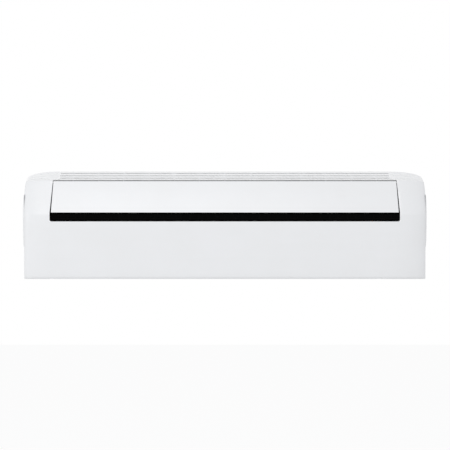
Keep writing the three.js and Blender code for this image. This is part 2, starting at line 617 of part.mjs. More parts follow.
// Builds in the frame of a guide vane: X along the unit, local Y upstream, local Z up the pivot
function atGuide(x, manifold) {
  const matrix = new THREE.Matrix4().makeTranslation(x, -guidePlane.depth, floorZAt(guidePlane.depth));
  return solid(geometryOf(manifold).applyMatrix4(matrix.multiply(guideTilt)));
}
const guideXs = side => Array.from({ length: guides.perSide }, (_, k) => outletMiddle
  + side * (guides.start + guides.pitch * k));
const peg = (x, y, radius, z0, z1) => solid(new THREE.CylinderGeometry(radius, radius, z1 - z0, 8)
  .rotateX(Math.PI / 2).translate(x, y, (z0 + z1) / 2));
const slabXYZ = (x0, x1, y0, y1, z0, z1) => solid(new THREE.BoxGeometry(x1 - x0, y1 - y0, z1 - z0)
  .translate((x0 + x1) / 2, (y0 + y1) / 2, (z0 + z1) / 2));

function guideVane(x) {
  const { long, tall, thick, crank } = guides;
  const outline = new THREE.Shape([[-long / 2, guideFoot + 6], [-long / 2 + 6, guideFoot], [crank - 1, guideFoot],
    [crank + 2.5, guideFoot + 5], [crank + 2.5, tall - 12], [6, tall], [-4, tall], [-5, tall - 5],
    [-long / 2, tall - 5]].map(p => new THREE.Vector2(...p)));
  const blade = solid(new THREE.ExtrudeGeometry(outline, { depth: thick, bevelEnabled: false })
    .applyMatrix4(new THREE.Matrix4().makeBasis(new THREE.Vector3(0, 1, 0), new THREE.Vector3(0, 0, 1),
      new THREE.Vector3(1, 0, 0))).translate(-thick / 2, 0, 0));
  return atGuide(x, join(blade,
    peg(0, 0, 2.6, guideFoot, guideFoot + 12), peg(0, 0, guidePin.radius, -1.8, guideFoot + 1),
    peg(0, -crank, guidePin.crankRadius, tall - 7, tall - 1)));
}

function linkBar(side) {
  const { crank, tall } = guides;
  const first = Math.min(...guideXs(side));
  const xs = guideXs(side).map(x => x - first);
  const long = Math.max(...xs);
  const low = tall - 4.6;
  const bar = slabXYZ(-8, long + 8, -crank - 4, -crank + 7, low, low + 1.8);
  const half = guidePin.crankRadius + guidePin.play;
  const holes = xs.map(x => slabXYZ(x - half, x + half, -crank - half, -crank + half + 2, low - 1, low + 3));
  return atGuide(first, cut(bar, holes));
}

function guideSockets() {
  return [-1, 1].flatMap(side => guideXs(side)).map(x => atGuide(x,
    peg(0, 0, guidePin.radius + guidePin.play, -8, guideFoot + 3)));
}

// Electrics, at the right end
const lidDepth = box.front;
const bosses = [[box.left + 8, box.high - 8], [box.right - 8, box.low + 8]];
const runButton = { x: box.left + 20, z: box.high - 20, stem: 4, cap: 6, travel: 2 };
const boardDepth = box.back + box.wall + 4;

function controlBox() {
  const { left, right, back, front, low, high, wall: skin } = box;
  const shellBox = cut(block(left, right, back, front, low, high),
    block(left + skin, right - skin, back + skin, front + 5, low + skin, high - skin));
  const legs = [left + 23, right - 14].map(x => block(x, x + 6, backWall.far + gap, back + 1, high - 14, high - 8));
  const posts = bosses.map(([x, z]) => rodY(x, z, 4, back + 1, front, 14));
  const rests = [[left + 12, low + 12], [right - 12, high - 12]].map(([x, z]) =>
    rodY(x, z, 3, back + 1, boardDepth - gap, 12));
  return cut(join(shellBox, legs, posts, rests),
    bosses.map(([x, z]) => rodY(x, z, 1.7, front - 12, front + 1, 12)),
    rodX(back + 18, low + 24, 6, left - 2, left + skin + 2, 16));
}

function controlBoxCover() {
  const { left, right, low, high, wall: skin } = box;
  const d = lidDepth + gap;
  const lip = cut(block(left + skin + 0.5, right - skin - 0.5, d - 5, d + 1, low + skin + 0.5, high - skin - 0.5),
    block(left + 2 * skin + 0.5, right - 2 * skin - 0.5, d - 6, d + 2, low + 2 * skin + 0.5, high - 2 * skin - 0.5));
  return cut(join(block(left, right, d, d + 2, low, high), lip),
    bosses.map(([x, z]) => rodY(x, z, 4.6, d - 8, d, 14)), bosses.map(([x, z]) => rodY(x, z, 1.9, d - 1, d + 3, 12)),
    rodY(runButton.x, runButton.z, runButton.stem + gap, d - 1, d + 3, 20));
}

function coverScrew([x, z]) {
  const d = lidDepth + gap + 2 + gap;
  return join(rodY(x, z, 3.5, d, d + 1.8, 14), rodY(x, z, 1.4, lidDepth - 8, d + 0.5, 10));
}

function controlBoard() {
  const { left, right, low, high, wall: skin } = box;
  const d = boardDepth;
  const board = cut(block(left + skin + 1, right - skin - 1, d, d + 1.6, low + skin + 1, high - skin - 1),
    bosses.map(([x, z]) => rodY(x, z, 4.6, d - 2, d + 3, 14)));
  // x from the box's left side, width, height above the board, low and high edge
  const chips = [[33, 14, 5, 10, 24], [51, 12, 9, 30, 44], [68, 15, 12, 6, 20], [11, 14, 7, 14, 24]];
  return join(board, chips.map(([x, wide, tall, z0, z1]) =>
    block(left + x, left + x + wide, d + 1, d + tall, z0, z1)));
}

function terminalBlock() {
  const d = boardDepth + 1.6 + gap;
  const ways = [0, 1, 2, 3].map(k => rodY(box.left + 13 + k * 8, box.low + 20, 2.4, d + 8, d + 20, 10));
  return cut(block(box.left + 7, box.left + 43, d, d + 14, box.low + 12, box.low + 28), ways);
}

function capacitor() {
  return rodZ(box.right - 27, boardDepth + 1.6 + gap + 9, 9, box.low + 16, box.low + 42, 20);
}

function displayBoard() {
  const d = lidDepth + 2 + 2 * gap;
  const lamps = [0, 1, 2].map(k => rodY(box.left + 33 + k * 14, box.low + 14, 2.4, d + 1, d + 6, 12));
  return join(block(box.left + 21, box.right - 20, d, d + 1.6, box.low + 6, box.low + 22), lamps);
}

function buttonPart() {
  const { x, z, stem, cap, travel } = runButton;
  const d = lidDepth + gap + 2 + gap + travel;
  return join(rodY(x, z, cap, d, d + 2.6, 24), rodY(x, z, stem, d - travel - 6, d + 0.5, 20));
}

// Fasteners and the wall plate
function casingScrew(x) {
  const low = -halfHeight + 0.1;
  return join(rodZ(x, screwDepth, screwHead, low, low + 1.2, 16), rodZ(x, screwDepth, 1.5, low + 1, low + 12, 10));
}

function mountingPlate() {
  const { halfWidth: half, low, high, thick } = plate;
  const outline = facing([[-half, low + 20], [-half + 20, low], [half - 20, low], [half, low + 20], [half, high - 8],
    [half - 8, high], [-half + 8, high], [-half, high - 8]], 0, thick);
  const slots = [-1, 1].flatMap(side => [120, half - 110].flatMap(x => [-35, 25, 80].map(z => [side * x, z])))
    .map(([x, z]) => block(x - 18, x + 18, -1, thick + 1, z - 5, z + 5));
  const hooks = [90 - half, half - 90].map(x => join(
    block(x - 14, x + 14, thick - 1, backWall.near - gap, high - 14, high - 12),
    block(x - 14, x + 14, backWall.near - gap - 1.5, backWall.near - gap, high - 13, high - 5)));
  const flange = block(-half + 12, half - 12, thick - 0.5, 6, high - 1.5, high);
  return join(cut(outline, slots), hooks, flange);
}

// Assembly
const group = new THREE.Group();
function add(name, manifold, material) {
  const part = new THREE.Mesh(geometryOf(manifold), material());
  part.name = name;
  group.add(part);
}

add('mounting_plate', mountingPlate(), zinc);
add('chassis', chassis(), greyPlastic);
add('front_casing', frontCasing(), white);
add('top_grille', topGrille(), white);
add('front_flap', frontFlap(), white);
add('slot_grille', slotGrille(), black);
add('end_cap_left', endCap(-1), white);
add('end_cap_right', endCap(1), white);
add('filter_left', filter(-fromEnd(85), filterSplitX - 3), mesh);
add('filter_right', filter(filterSplitX + 3, fromEnd(151)), mesh);
add('coil_front_lower', section(coilSections.frontLower, coilSpan.left, coilSpan.right), aluminium);
add('coil_front_upper', section(coilSections.frontUpper, coilSpan.left, coilSpan.right), aluminium);
add('coil_rear', section(coilSections.rear, coilSpan.left, coilSpan.right), aluminium);
add('coil_plate_left', coilPlate(-1), copper);
add('coil_plate_right', coilPlate(1), copper);
['gas', 'liquid'].forEach((name, k) => {
  add(`${name}_pipe`, pipe(pipeRoutes[k]), copper);
  add(`${name}_flare_nut`, flareNut(pipeRoutes[k]), brass);
});
add('pipe_clamp', pipeClamp(), darkPlastic);
add('coil_sensor', rodX(fromFront(84), 104, 2.5, coilSpan.right + 2 * gap + endPlate, endWall.right - 2, 14), copper);
add('fan_rotor', fanRotor(), darkPlastic);
add('fan_bearing', fanBearing(), rubber);
add('bearing_holder', bearingHolder(), greyPlastic);
add('fan_motor', fanMotor(), zinc);
add('motor_clamp', motorClamp(), zinc);
add('drain_pan', drainPan(), greyPlastic);
add('drain_spigot', drainSpigot(), darkPlastic);
add('drain_plug', drainPlug(), rubber);
add('outlet_vane', outletVane(), white);
add('vane_bush', vaneBush(), darkPlastic);
add('vane_motor', vaneMotor(), zinc);
[-1, 1].forEach(side => {
  const place = side < 0 ? 'left' : 'right';
  guideXs(side).forEach((x, k) => add(`guide_vane_${place}_${k + 1}`, guideVane(x), darkPlastic));
  add(`link_bar_${place}`, linkBar(side), darkPlastic);
});
add('control_box', controlBox(), greyPlastic);
add('control_box_cover', controlBoxCover(), greyPlastic);
bosses.forEach((place, k) => add(`cover_screw_${k + 1}`, coverScrew(place), zinc));
add('control_board', controlBoard(), green);
add('terminal_block', terminalBlock(), darkPlastic);
add('capacitor', capacitor(), aluminium);
add('display_board', displayBoard(), green);
add('run_button', buttonPart(), white);
screwXs.forEach((x, k) => add(`casing_screw_${k + 1}`, casingScrew(x), zinc));

export default group;
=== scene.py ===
import json
import math
import bpy
from mathutils import Matrix, Vector

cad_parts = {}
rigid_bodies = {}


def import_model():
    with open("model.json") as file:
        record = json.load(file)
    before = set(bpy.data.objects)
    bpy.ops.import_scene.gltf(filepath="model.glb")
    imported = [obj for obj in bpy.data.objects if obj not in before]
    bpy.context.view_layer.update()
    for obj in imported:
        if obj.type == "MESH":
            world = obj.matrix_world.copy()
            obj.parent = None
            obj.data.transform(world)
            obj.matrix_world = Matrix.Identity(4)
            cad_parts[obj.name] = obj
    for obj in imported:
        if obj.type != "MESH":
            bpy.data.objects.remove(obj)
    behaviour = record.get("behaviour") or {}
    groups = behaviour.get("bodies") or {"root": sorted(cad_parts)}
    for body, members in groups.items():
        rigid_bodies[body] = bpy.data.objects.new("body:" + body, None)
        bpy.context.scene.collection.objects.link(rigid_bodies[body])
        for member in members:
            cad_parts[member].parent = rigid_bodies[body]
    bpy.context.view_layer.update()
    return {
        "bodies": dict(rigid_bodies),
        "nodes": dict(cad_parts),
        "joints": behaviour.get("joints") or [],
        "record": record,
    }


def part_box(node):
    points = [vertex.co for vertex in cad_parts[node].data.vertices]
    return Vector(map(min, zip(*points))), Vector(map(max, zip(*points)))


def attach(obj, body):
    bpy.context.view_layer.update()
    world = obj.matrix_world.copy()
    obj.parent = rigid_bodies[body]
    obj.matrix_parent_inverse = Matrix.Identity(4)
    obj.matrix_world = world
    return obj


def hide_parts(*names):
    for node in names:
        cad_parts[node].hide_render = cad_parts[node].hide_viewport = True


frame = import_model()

mm = 0.001
print("frame loaded:", len(frame["nodes"]), "nodes")

# Camera: level, straight on, from far enough that the ends hardly turn
photo = {"pixels": 450, "mmPerPixel": 2.764, "centreX": 224.8, "centreY": 225.0, "distance": 12.0,
         "frontDepth": 0.21}


def makeCamera():
    data = bpy.data.cameras.new("photoCamera")
    data.sensor_fit = "HORIZONTAL"
    data.sensor_width = 36.0
    width = photo["pixels"] * photo["mmPerPixel"] * mm
    data.lens = data.sensor_width * photo["distance"] / width
    data.clip_end = 60.0
    camera = bpy.data.objects.new("photoCamera", data)
    bpy.context.collection.objects.link(camera)
    offset = (photo["pixels"] / 2 - photo["centreX"]) * photo["mmPerPixel"] * mm
    camera.location = (offset, -(photo["frontDepth"] + photo["distance"]), 0)
    camera.rotation_euler = (math.radians(90), 0, 0)
    bpy.context.scene.camera = camera


makeCamera()


# Mesh helpers
def deselect():
    if bpy.context.object and bpy.context.object.mode != "OBJECT":
        bpy.ops.object.mode_set(mode="OBJECT")
    bpy.ops.object.select_all(action="DESELECT")


def pick(obj):
    deselect()
    obj.select_set(True)
    bpy.context.view_layer.objects.active = obj


def settle(obj):  # the place goes into the mesh, and the object back to the origin
    pick(obj)
    bpy.ops.object.transform_apply(location=True, rotation=True, scale=True)
    return obj


def named(obj, name):
    obj.name = name
    obj.data.name = name
    return obj


def modify(obj, kind, **settings):
    pick(obj)
    modifier = obj.modifiers.new(kind.lower(), kind)
    for key, value in settings.items():
        setattr(modifier, key, value)
    bpy.ops.object.modifier_apply(modifier=modifier.name)
    return obj


def smooth(obj, angle=35):
    pick(obj)
    bpy.ops.object.shade_smooth_by_angle(angle=math.radians(angle))
    return obj


def tidy(obj, distance=0.00002):
    pick(obj)
    bpy.ops.object.mode_set(mode="EDIT")
    bpy.ops.mesh.select_all(action="SELECT")
    bpy.ops.mesh.remove_doubles(threshold=distance)
    bpy.ops.mesh.normals_make_consistent(inside=False)
    bpy.ops.object.mode_set(mode="OBJECT")
    return obj


def bevel(obj, width, segments=2, angle=40):
    return modify(obj, "BEVEL", width=width * mm, segments=segments, limit_method="ANGLE",
                  angle_limit=math.radians(angle), use_clamp_overlap=True)


def cut(obj, tools, operation="DIFFERENCE", careful=False):
    for tool in tools:
        modify(obj, "BOOLEAN", operation=operation, object=tool, solver="EXACT", use_self=careful)
        bpy.data.objects.remove(tool, do_unlink=True)
    return obj


def join(name, pieces):
    pick(pieces[0])
    for piece in pieces:
        piece.select_set(True)
    if len(pieces) > 1:
        bpy.ops.object.join()
    return named(bpy.context.object, name)


def copyOf(obj):
    twin = obj.copy()
    twin.data = obj.data.copy()
    bpy.context.collection.objects.link(twin)
    return twin


# A box between two corners given as x, depth from the wall and height, in mm, with rounded edges
def block(x0, x1, d0, d1, z0, z1, round=0.0, segments=2):
    deselect()
    bpy.ops.mesh.primitive_cube_add(size=1,
                                    location=((x0 + x1) / 2 * mm, -(d0 + d1) / 2 * mm, (z0 + z1) / 2 * mm))
    obj = bpy.context.object
    obj.scale = ((x1 - x0) * mm, (d1 - d0) * mm, (z1 - z0) * mm)
    settle(obj)
    if round:
        bevel(obj, round, segments)
    return obj


# A rod between two points, with chamfered ends
def rod(a, b, radius, sides=32, chamfer=0.0):
    start, end = (Vector((p[0], -p[1], p[2])) * mm for p in (a, b))
    deselect()
    bpy.ops.mesh.primitive_cylinder_add(vertices=sides, radius=radius * mm, depth=(end - start).length)
    obj = bpy.context.object
    turn = (end - start).to_track_quat("Z", "Y").to_matrix().to_4x4()
    obj.data.transform(Matrix.Translation((start + end) / 2) @ turn)
    if chamfer:
        bevel(obj, chamfer, 2)
    return obj


# A sheet whose corners are placed by a formula, as rows of rings pulled to their stations
def sheetOf(columns, rows, place):
    deselect()
    bpy.ops.mesh.primitive_grid_add(x_subdivisions=columns, y_subdivisions=rows, size=1)
    obj = bpy.context.object
    for vertex in obj.data.vertices:
        u, v = vertex.co.x + 0.5, vertex.co.y + 0.5
        x, depth, z = place(u, v)
        vertex.co = (x * mm, -depth * mm, z * mm)
    return obj


# A closed outline carried along one axis; the points give the other two of x, depth and height
def carried(points, start, end, place):
    deselect()
    bpy.ops.mesh.primitive_circle_add(vertices=len(points), radius=1, fill_type="NGON")
    obj = bpy.context.object
    for vertex, point in zip(obj.data.vertices, points):
        x, depth, z = place(point, start)
        vertex.co = (x * mm, -depth * mm, z * mm)
    x, depth, z = (b - a for a, b in zip(place((0, 0), start), place((0, 0), end)))
    bpy.ops.object.mode_set(mode="EDIT")
    bpy.ops.mesh.select_all(action="SELECT")
    bpy.ops.mesh.extrude_region_move(TRANSFORM_OT_translate={"value": (x * mm, -depth * mm, z * mm)})
    bpy.ops.mesh.select_all(action="SELECT")
    bpy.ops.mesh.normals_make_consistent(inside=False)
    bpy.ops.object.mode_set(mode="OBJECT")
    return obj


def prism(points, x0, x1):  # points: depth, height
    return carried(points, x0, x1, lambda p, t: (t, p[0], p[1]))


def facing(points, d0, d1):  # points: x, height
    return carried(points, d0, d1, lambda p, t: (p[0], t, p[1]))


def upright(points, z0, z1):  # points: x, depth
    return carried(points, z0, z1, lambda p, t: (p[0], p[1], t))


def stadium(x0, x1, d0, d1, steps=8):  # a slot with round ends, as x and depth
    r = (d1 - d0) / 2
    middle = (d0 + d1) / 2
    turns = [math.pi * k / steps for k in range(steps + 1)]
    return ([(x1 - r + r * math.sin(a), middle - r * math.cos(a)) for a in turns]
            + [(x0 + r - r * math.sin(a), middle + r * math.cos(a)) for a in turns])


# Straight runs joined by arcs: [depth, height, corner radius]
def rounded(corners, steps=8):
    path = [corners[0][:2]]
    for before, corner, after in zip(corners, corners[1:], corners[2:]):
        here = Vector(corner[:2])
        back = (Vector(before[:2]) - here)
        on = (Vector(after[:2]) - here)
        half = back.angle(on) / 2
        reach = min(corner[2] / math.tan(half), back.length * 0.49, on.length * 0.49)
        radius = reach * math.tan(half)
        back.normalize()
        on.normalize()
        centre = here + (back + on).normalized() * (radius / math.sin(half))
        first = here + back * reach - centre
        last = here + on * reach - centre
        sweep = first.angle_signed(last)
        for k in range(steps + 1):
            turned = first.copy()
            turned.rotate(Matrix.Rotation(-sweep * k / steps, 2))
            path.append(tuple(centre + turned))
    path.append(corners[-1][:2])
    return path


def catmull(points, steps, pull=0.3):  # a smooth path through points
    ends = [Vector(points[0]) * 2 - Vector(points[1])] + [Vector(p) for p in points]
    ends.append(Vector(points[-1]) * 2 - Vector(points[-2]))
    path = []
    for a, b, c, d in zip(ends, ends[1:], ends[2:], ends[3:]):
        for k in range(steps):
            t = k / steps
            path.append(b * (2 * t ** 3 - 3 * t ** 2 + 1) + (c - a) * pull * (t ** 3 - 2 * t ** 2 + t)
                        + c * (3 * t ** 2 - 2 * t ** 3) + (d - b) * pull * (t ** 3 - t ** 2))
    return path + [Vector(points[-1])]


def tube(points, radius, rings=5):  # a capped tube along x, depth, height points
    deselect()
    bpy.ops.curve.primitive_nurbs_path_add()
    obj = bpy.context.object
    data = obj.data
    data.splines.clear()
    spline = data.splines.new("POLY")
    spline.points.add(len(points) - 1)
    for point, (x, depth, z) in zip(spline.points, points):
        point.co = (x * mm, -depth * mm, z * mm, 1)
    data.dimensions = "3D"
    data.use_path = False
    data.bevel_depth = radius * mm
    data.bevel_resolution = rings
    data.use_fill_caps = True
    bpy.ops.object.convert(target="MESH")
    return tidy(bpy.context.object)


# Shader maths on sockets
class Sock:
    def __init__(self, tree, link):
        self.tree = tree
        self.link = link

    def maths(self, kind, a, b=0.0):
        return self.tree.node("ShaderNodeMath", {"operation": kind}, [a, b])

    def __add__(self, other):
        return self.maths("ADD", self, other)

    def __sub__(self, other):
        return self.maths("SUBTRACT", self, other)

    def __mul__(self, other):
        return self.maths("MULTIPLY", self, other)

    def __rsub__(self, other):
        return self.maths("SUBTRACT", other, self)

    __radd__ = __add__
    __rmul__ = __mul__


class Tree:
    def __init__(self, name):
        self.material = bpy.data.materials.new(name)
        self.material.use_nodes = True
        self.nodes = self.material.node_tree.nodes
        self.links = self.material.node_tree.links
        self.shader = self.nodes["Principled BSDF"]

    # Adds a node: its settings first, then the values or links of its sockets, by place or by name
    def node(self, kind, settings=None, sockets=(), output=0):
        made = self.nodes.new(kind)
        for key, value in (settings or {}).items():
            if key == "stops":
                for _ in range(len(value) - 2):
                    made.color_ramp.elements.new(0.5)
                for element, (position, colour) in zip(made.color_ramp.elements, value):
                    element.position = position
                    element.color = (*colour, 1) if len(colour) == 3 else colour
            else:
                setattr(made, key, value)
        pairs = sockets.items() if isinstance(sockets, dict) else enumerate(sockets)
        for key, value in pairs:
            self.feed(made.inputs[key], value)
        return Sock(self, made.outputs[output])

    def feed(self, socket, value):
        if isinstance(value, Sock):
            self.links.new(value.link, socket)
        else:
            socket.default_value = value

    def set(self, **sockets):
        for key, value in sockets.items():
            words = "".join(" " + c if c.isupper() else c for c in key)
            label = words[0].upper() + words[1:]
            if label in ("Base Color", "Specular Tint") and not isinstance(value, Sock):
                value = (*value, 1)
            self.feed(self.shader.inputs[label], value)

    def place(self, scale=(1, 1, 1), turn=(0, 0, 0)):
        where = self.node("ShaderNodeTexCoord", output=3)
        return self.node("ShaderNodeMapping", {}, {"Vector": where, "Scale": scale, "Rotation": turn})

    def noise(self, scale, detail=3.0, rough=0.55, vector=None):
        where = vector or self.place()
        return self.node("ShaderNodeTexNoise", {},
                         {"Vector": where, "Scale": scale, "Detail": detail, "Roughness": rough})

    def ramp(self, value, low, high):
        return self.node("ShaderNodeMapRange", {}, {"Value": value, "From Min": low, "From Max": high})

    def blend(self, factor, a, b):
        made = self.nodes.new("ShaderNodeMix")
        made.data_type = "RGBA"
        for socket, value in zip((made.inputs[0], made.inputs[6], made.inputs[7]), (factor, a, b)):
            if not isinstance(value, Sock) and socket.type == "RGBA":
                value = (*value, 1)
            self.feed(socket, value)
        return Sock(self, made.outputs[2])

    def bump(self, height, strength, distance):
        self.set(normal=self.node("ShaderNodeBump", {},
                                  {"Strength": strength, "Distance": distance * mm, "Height": height}))

    def edgeWear(self):  # brighter along convex edges
        geometry = self.node("ShaderNodeNewGeometry", output=7)
        return self.ramp(geometry, 0.52, 0.6)


# Finishes. Colours are linear
finishes = {
    "white": {"colour": (0.845, 0.853, 0.868), "aged": (0.825, 0.832, 0.842), "rough": 0.32, "grain": 900,
              "coat": 0.12},
    # near-black, darker than black plastic, with little specular: the slot grille's own black with the deep
    # shade of the slot painted into it
    "black": {"colour": (0.002, 0.002, 0.0022), "aged": (0.003, 0.003, 0.0032), "rough": 0.7,
              "grain": 1600, "coat": 0, "specular": 0.03},
    "grey": {"colour": (0.42, 0.435, 0.45), "aged": (0.36, 0.365, 0.37), "rough": 0.48, "grain": 1100,
             "coat": 0},
    "frame": {"colour": (0.10, 0.115, 0.13), "aged": (0.14, 0.15, 0.16), "rough": 0.5, "grain": 1300,
              "coat": 0},
    "dark": {"colour": (0.028, 0.03, 0.033), "aged": (0.05, 0.05, 0.05), "rough": 0.46, "grain": 1300,
             "coat": 0},
    "pan": {"colour": (0.55, 0.57, 0.59), "aged": (0.46, 0.46, 0.45), "rough": 0.5, "grain": 1000,
            "coat": 0},
    "rubber": {"colour": (0.012, 0.012, 0.013), "aged": (0.03, 0.03, 0.03), "rough": 0.82, "grain": 700,
               "coat": 0},
}


# Moulded plastic: fine spark grain, faint clouding and flow marks along the length
def moulded(name):
    use = finishes[name]
    t = Tree(name)
    clouds = t.ramp(t.noise(9, 4), 0.35, 0.7)
    flow = t.ramp(t.noise(1, 2, vector=t.place((2.2, 30, 30))), 0.4, 0.7)
    tone = t.blend(clouds * 0.6 + flow * 0.25, use["colour"], use["aged"])
    worn = tuple(min(1, c * 1.3 + 0.001) for c in use["colour"])
    t.set(baseColor=t.blend(t.edgeWear() * 0.35, tone, worn))
    t.set(roughness=clouds * 0.07 + t.noise(260, 2) * 0.08 + (use["rough"] - 0.07))
    if "specular" in use:
        t.feed(t.shader.inputs["Specular IOR Level"], use["specular"])
    if use["coat"]:
        t.set(coatWeight=use["coat"], coatRoughness=0.2)
    grain = t.node("ShaderNodeTexVoronoi", {}, {"Vector": t.place(), "Scale": float(use["grain"])})
    t.bump(grain + t.noise(use["grain"] * 0.6, 2), 0.12, 0.05)
    return t.material


# Galvanised sheet: spangle cells and rolling streaks
def zincSheet(name, colour=(0.52, 0.54, 0.56), spangle=55):
    t = Tree(name)
    cells = t.node("ShaderNodeTexVoronoi", {"feature": "F1"},
                   {"Vector": t.place(), "Scale": float(spangle)}, output=1)
    grey = t.node("ShaderNodeRGBToBW", {}, [cells])
    streaks = t.noise(1, 3, vector=t.place((6, 300, 300)))
    darker = tuple(c * 0.72 for c in colour)
    t.set(baseColor=t.blend(t.ramp(grey * 0.7 + streaks * 0.4, 0.2, 0.9), darker, colour))
    t.set(metallic=1.0, roughness=grey * 0.16 + t.noise(30, 4) * 0.12 + 0.24)
    t.bump(streaks + grey * 0.5, 0.1, 0.05)
    return t.material


def drawnMetal(name, colour, tarnish, rough):  # drawn tube or turned metal, dulled in patches
    t = Tree(name)
    patches = t.ramp(t.noise(28, 5), 0.42, 0.66)
    lines = t.noise(1, 2, vector=t.place((14, 700, 700)))
    t.set(baseColor=t.blend(patches * 0.75, colour, tarnish))
    t.set(metallic=1.0, roughness=patches * 0.22 + lines * 0.1 + rough)
    t.bump(lines, 0.15, 0.04)
    return t.material


def coilFins():  # bright fin stock with a thin water-shedding coat
    t = Tree("coilFins")
    edge = t.noise(70, 4)
    dull = t.ramp(t.noise(14, 4), 0.4, 0.68)
    t.set(baseColor=t.blend(dull * 0.6, (0.66, 0.69, 0.72), (0.44, 0.48, 0.52)))
    t.set(metallic=1.0, roughness=dull * 0.2 + edge * 0.1 + 0.26)
    t.bump(edge, 0.12, 0.06)
    return t.material


def filterNet():  # woven net: threads each way, the holes cut by alpha
    t = Tree("filterNet")
    pitch = 1.35  # mm between threads, before the wave's own scale
    scale = 314.16 / (pitch * 10) * 2.2
    across, up = (t.node("ShaderNodeTexWave", {"bands_direction": way},
                         {"Vector": t.place(), "Scale": scale})
                  for way in ("X", "Z"))
    thread = across.maths("MAXIMUM", across, up)
    solid = t.ramp(thread, 0.55, 0.75)
    dust = t.ramp(t.noise(40, 5), 0.45, 0.75)
    t.set(baseColor=t.blend(dust * 0.5, (0.03, 0.036, 0.045), (0.16, 0.16, 0.155)), roughness=0.7)
    t.set(alpha=solid * 0.85 + 0.15)
    t.bump(thread, 0.5, 0.25)
    return t.material


def circuitBoard():  # solder mask over copper tracks, with pale pads
    t = Tree("circuitBoard")
    tracks = t.node("ShaderNodeTexBrick", {"offset": 0.5, "squash": 1.0}, {
        "Vector": t.place(turn=(math.radians(90), 0, 0)), "Scale": 160.0, "Mortar Size": 0.06,
        "Mortar Smooth": 0.2}, output=1)
    pads = t.node("ShaderNodeTexVoronoi", {}, {"Vector": t.place(), "Scale": 230.0})
    pad = t.node("ShaderNodeMath", {"operation": "LESS_THAN"}, [pads, 0.16])
    mask = t.blend(tracks, (0.006, 0.085, 0.035), (0.012, 0.15, 0.065))
    t.set(baseColor=t.blend(pad, mask, (0.6, 0.58, 0.5)), roughness=pad * -0.15 + 0.38, metallic=pad * 0.8)
    t.bump(tracks + pad, 0.2, 0.05)
    return t.material


finish = {name: moulded(name) for name in finishes}
finish["zinc"] = zincSheet("zinc")
finish["motorCan"] = zincSheet("motorCan", (0.44, 0.45, 0.47), 30)
finish["copper"] = drawnMetal("copper", (0.78, 0.36, 0.2), (0.36, 0.17, 0.1), 0.2)
finish["brass"] = drawnMetal("brass", (0.74, 0.52, 0.2), (0.45, 0.3, 0.13), 0.2)
finish["fins"] = coilFins()
finish["net"] = filterNet()
finish["board"] = circuitBoard()
print("finishes made:", len(finish))


def dress(obj, name):
    obj.data.materials.clear()
    obj.data.materials.append(finish[name])
    return obj


# The casing's outer form, as in the frame: one front-to-back outline with rounded, falling ends
body = {
    "halfWidth": 555.0, "halfHeight": 149.2, "depth": 232.0, "back": 14.0, "wall": 3.0,
    "endRound": 93.0, "endRecess": 28.0, "endDroop": 20.0, "crease": 31.0,
    "taperFrom": 85.0, "taperTo": 127.0, "taperBy": 4.0, "taperPower": 1.6,
    "flapTop": (200.0, 121.6), "slopeFrom": 90.0, "slopeTo": (188.0, 126.4),
}
slotPlace = {"low": 9.7, "high": 34.5, "half": 483.7, "corner": 5.5, "lip": 123.6, "lipHalf": 475.4}
grilleSeam = {"z": 112.0, "depth": 183.0, "gap": 0.45}


def frontDepth(z):
    top, topZ = body["flapTop"]
    return body["depth"] - (z - body["crease"]) * (body["depth"] - top) / (topZ - body["crease"])


def widthAt(z):
    share = min(max((z - body["taperFrom"]) / (body["taperTo"] - body["taperFrom"]), 0), 1)
    return body["halfWidth"] - body["taperBy"] * share ** body["taperPower"]


def topZ(depth):
    nose, noseZ = body["slopeTo"]
    fall = max(0, depth - body["slopeFrom"]) / (nose - body["slopeFrom"])
    return body["halfHeight"] + (noseZ - body["halfHeight"]) * fall


def droopShare(depth, z):  # how much of the end droop a point takes
    ceiling = topZ(depth)
    share = min(1, max(0, (z - body["taperFrom"]) / (ceiling - body["taperFrom"])))
    nose = body["slopeTo"][0]
    most = 0.22 + 0.78 * min(1, max(0, (nose + 12 - depth) / (nose + 12 - body["slopeFrom"])))
    return most * share ** 2.2


def outline(inset, back):  # the closed front-to-back outline, from the low back corner round the front
    height = body["halfHeight"] - inset
    slant = inset * 1.06
    nose = 199.4
    corners = [
        (back, -height, 0), (225.4 - inset, -height, 9 - inset), (228.6 - inset, -90, 120),
        (231.2 - inset, -20, 200), (body["depth"] - inset, 8, 200),
        (body["depth"] - inset, body["crease"] - 1, 26),
        (nose - slant, topZ(nose) - inset, 5), (body["slopeFrom"], height, 60), (back, height, 0)]
    path = rounded(corners, 7) + [(back, -height)]
    fine = []
    for a, b in zip(path, path[1:]):  # long straight runs are split
        steps = max(1, round(math.dist(a, b) / 14))
        fine += [(a[0] + (b[0] - a[0]) * k / steps, a[1] + (b[1] - a[1]) * k / steps) for k in range(steps)]
    return fine


# Closes each flat rim of a sheet, so that it is a solid
def closeSheet(obj):
    pick(obj)
    bpy.ops.object.mode_set(mode="EDIT")
    bpy.ops.mesh.select_all(action="SELECT")
    bpy.ops.mesh.remove_doubles(threshold=0.00002)
    bpy.ops.mesh.fill_holes(sides=0)
    bpy.ops.mesh.normals_make_consistent(inside=False)
    bpy.ops.object.mode_set(mode="OBJECT")
    return obj


# A point of the outline at a station: turn 0 is the middle, 90 the end
def atStation(depth, z, degrees, side, inset):
    turn = 1 - math.cos(math.radians(degrees))
    start = body["halfWidth"] - body["endRound"]
    x = start + (widthAt(z) - inset - start) * math.sin(math.radians(degrees))
    recess = body["endRecess"] * turn * max(0, (depth - body["back"]) / (body["depth"] - body["back"]))
    return side * x, depth - recess, z - body["endDroop"] * turn * droopShare(depth, z)


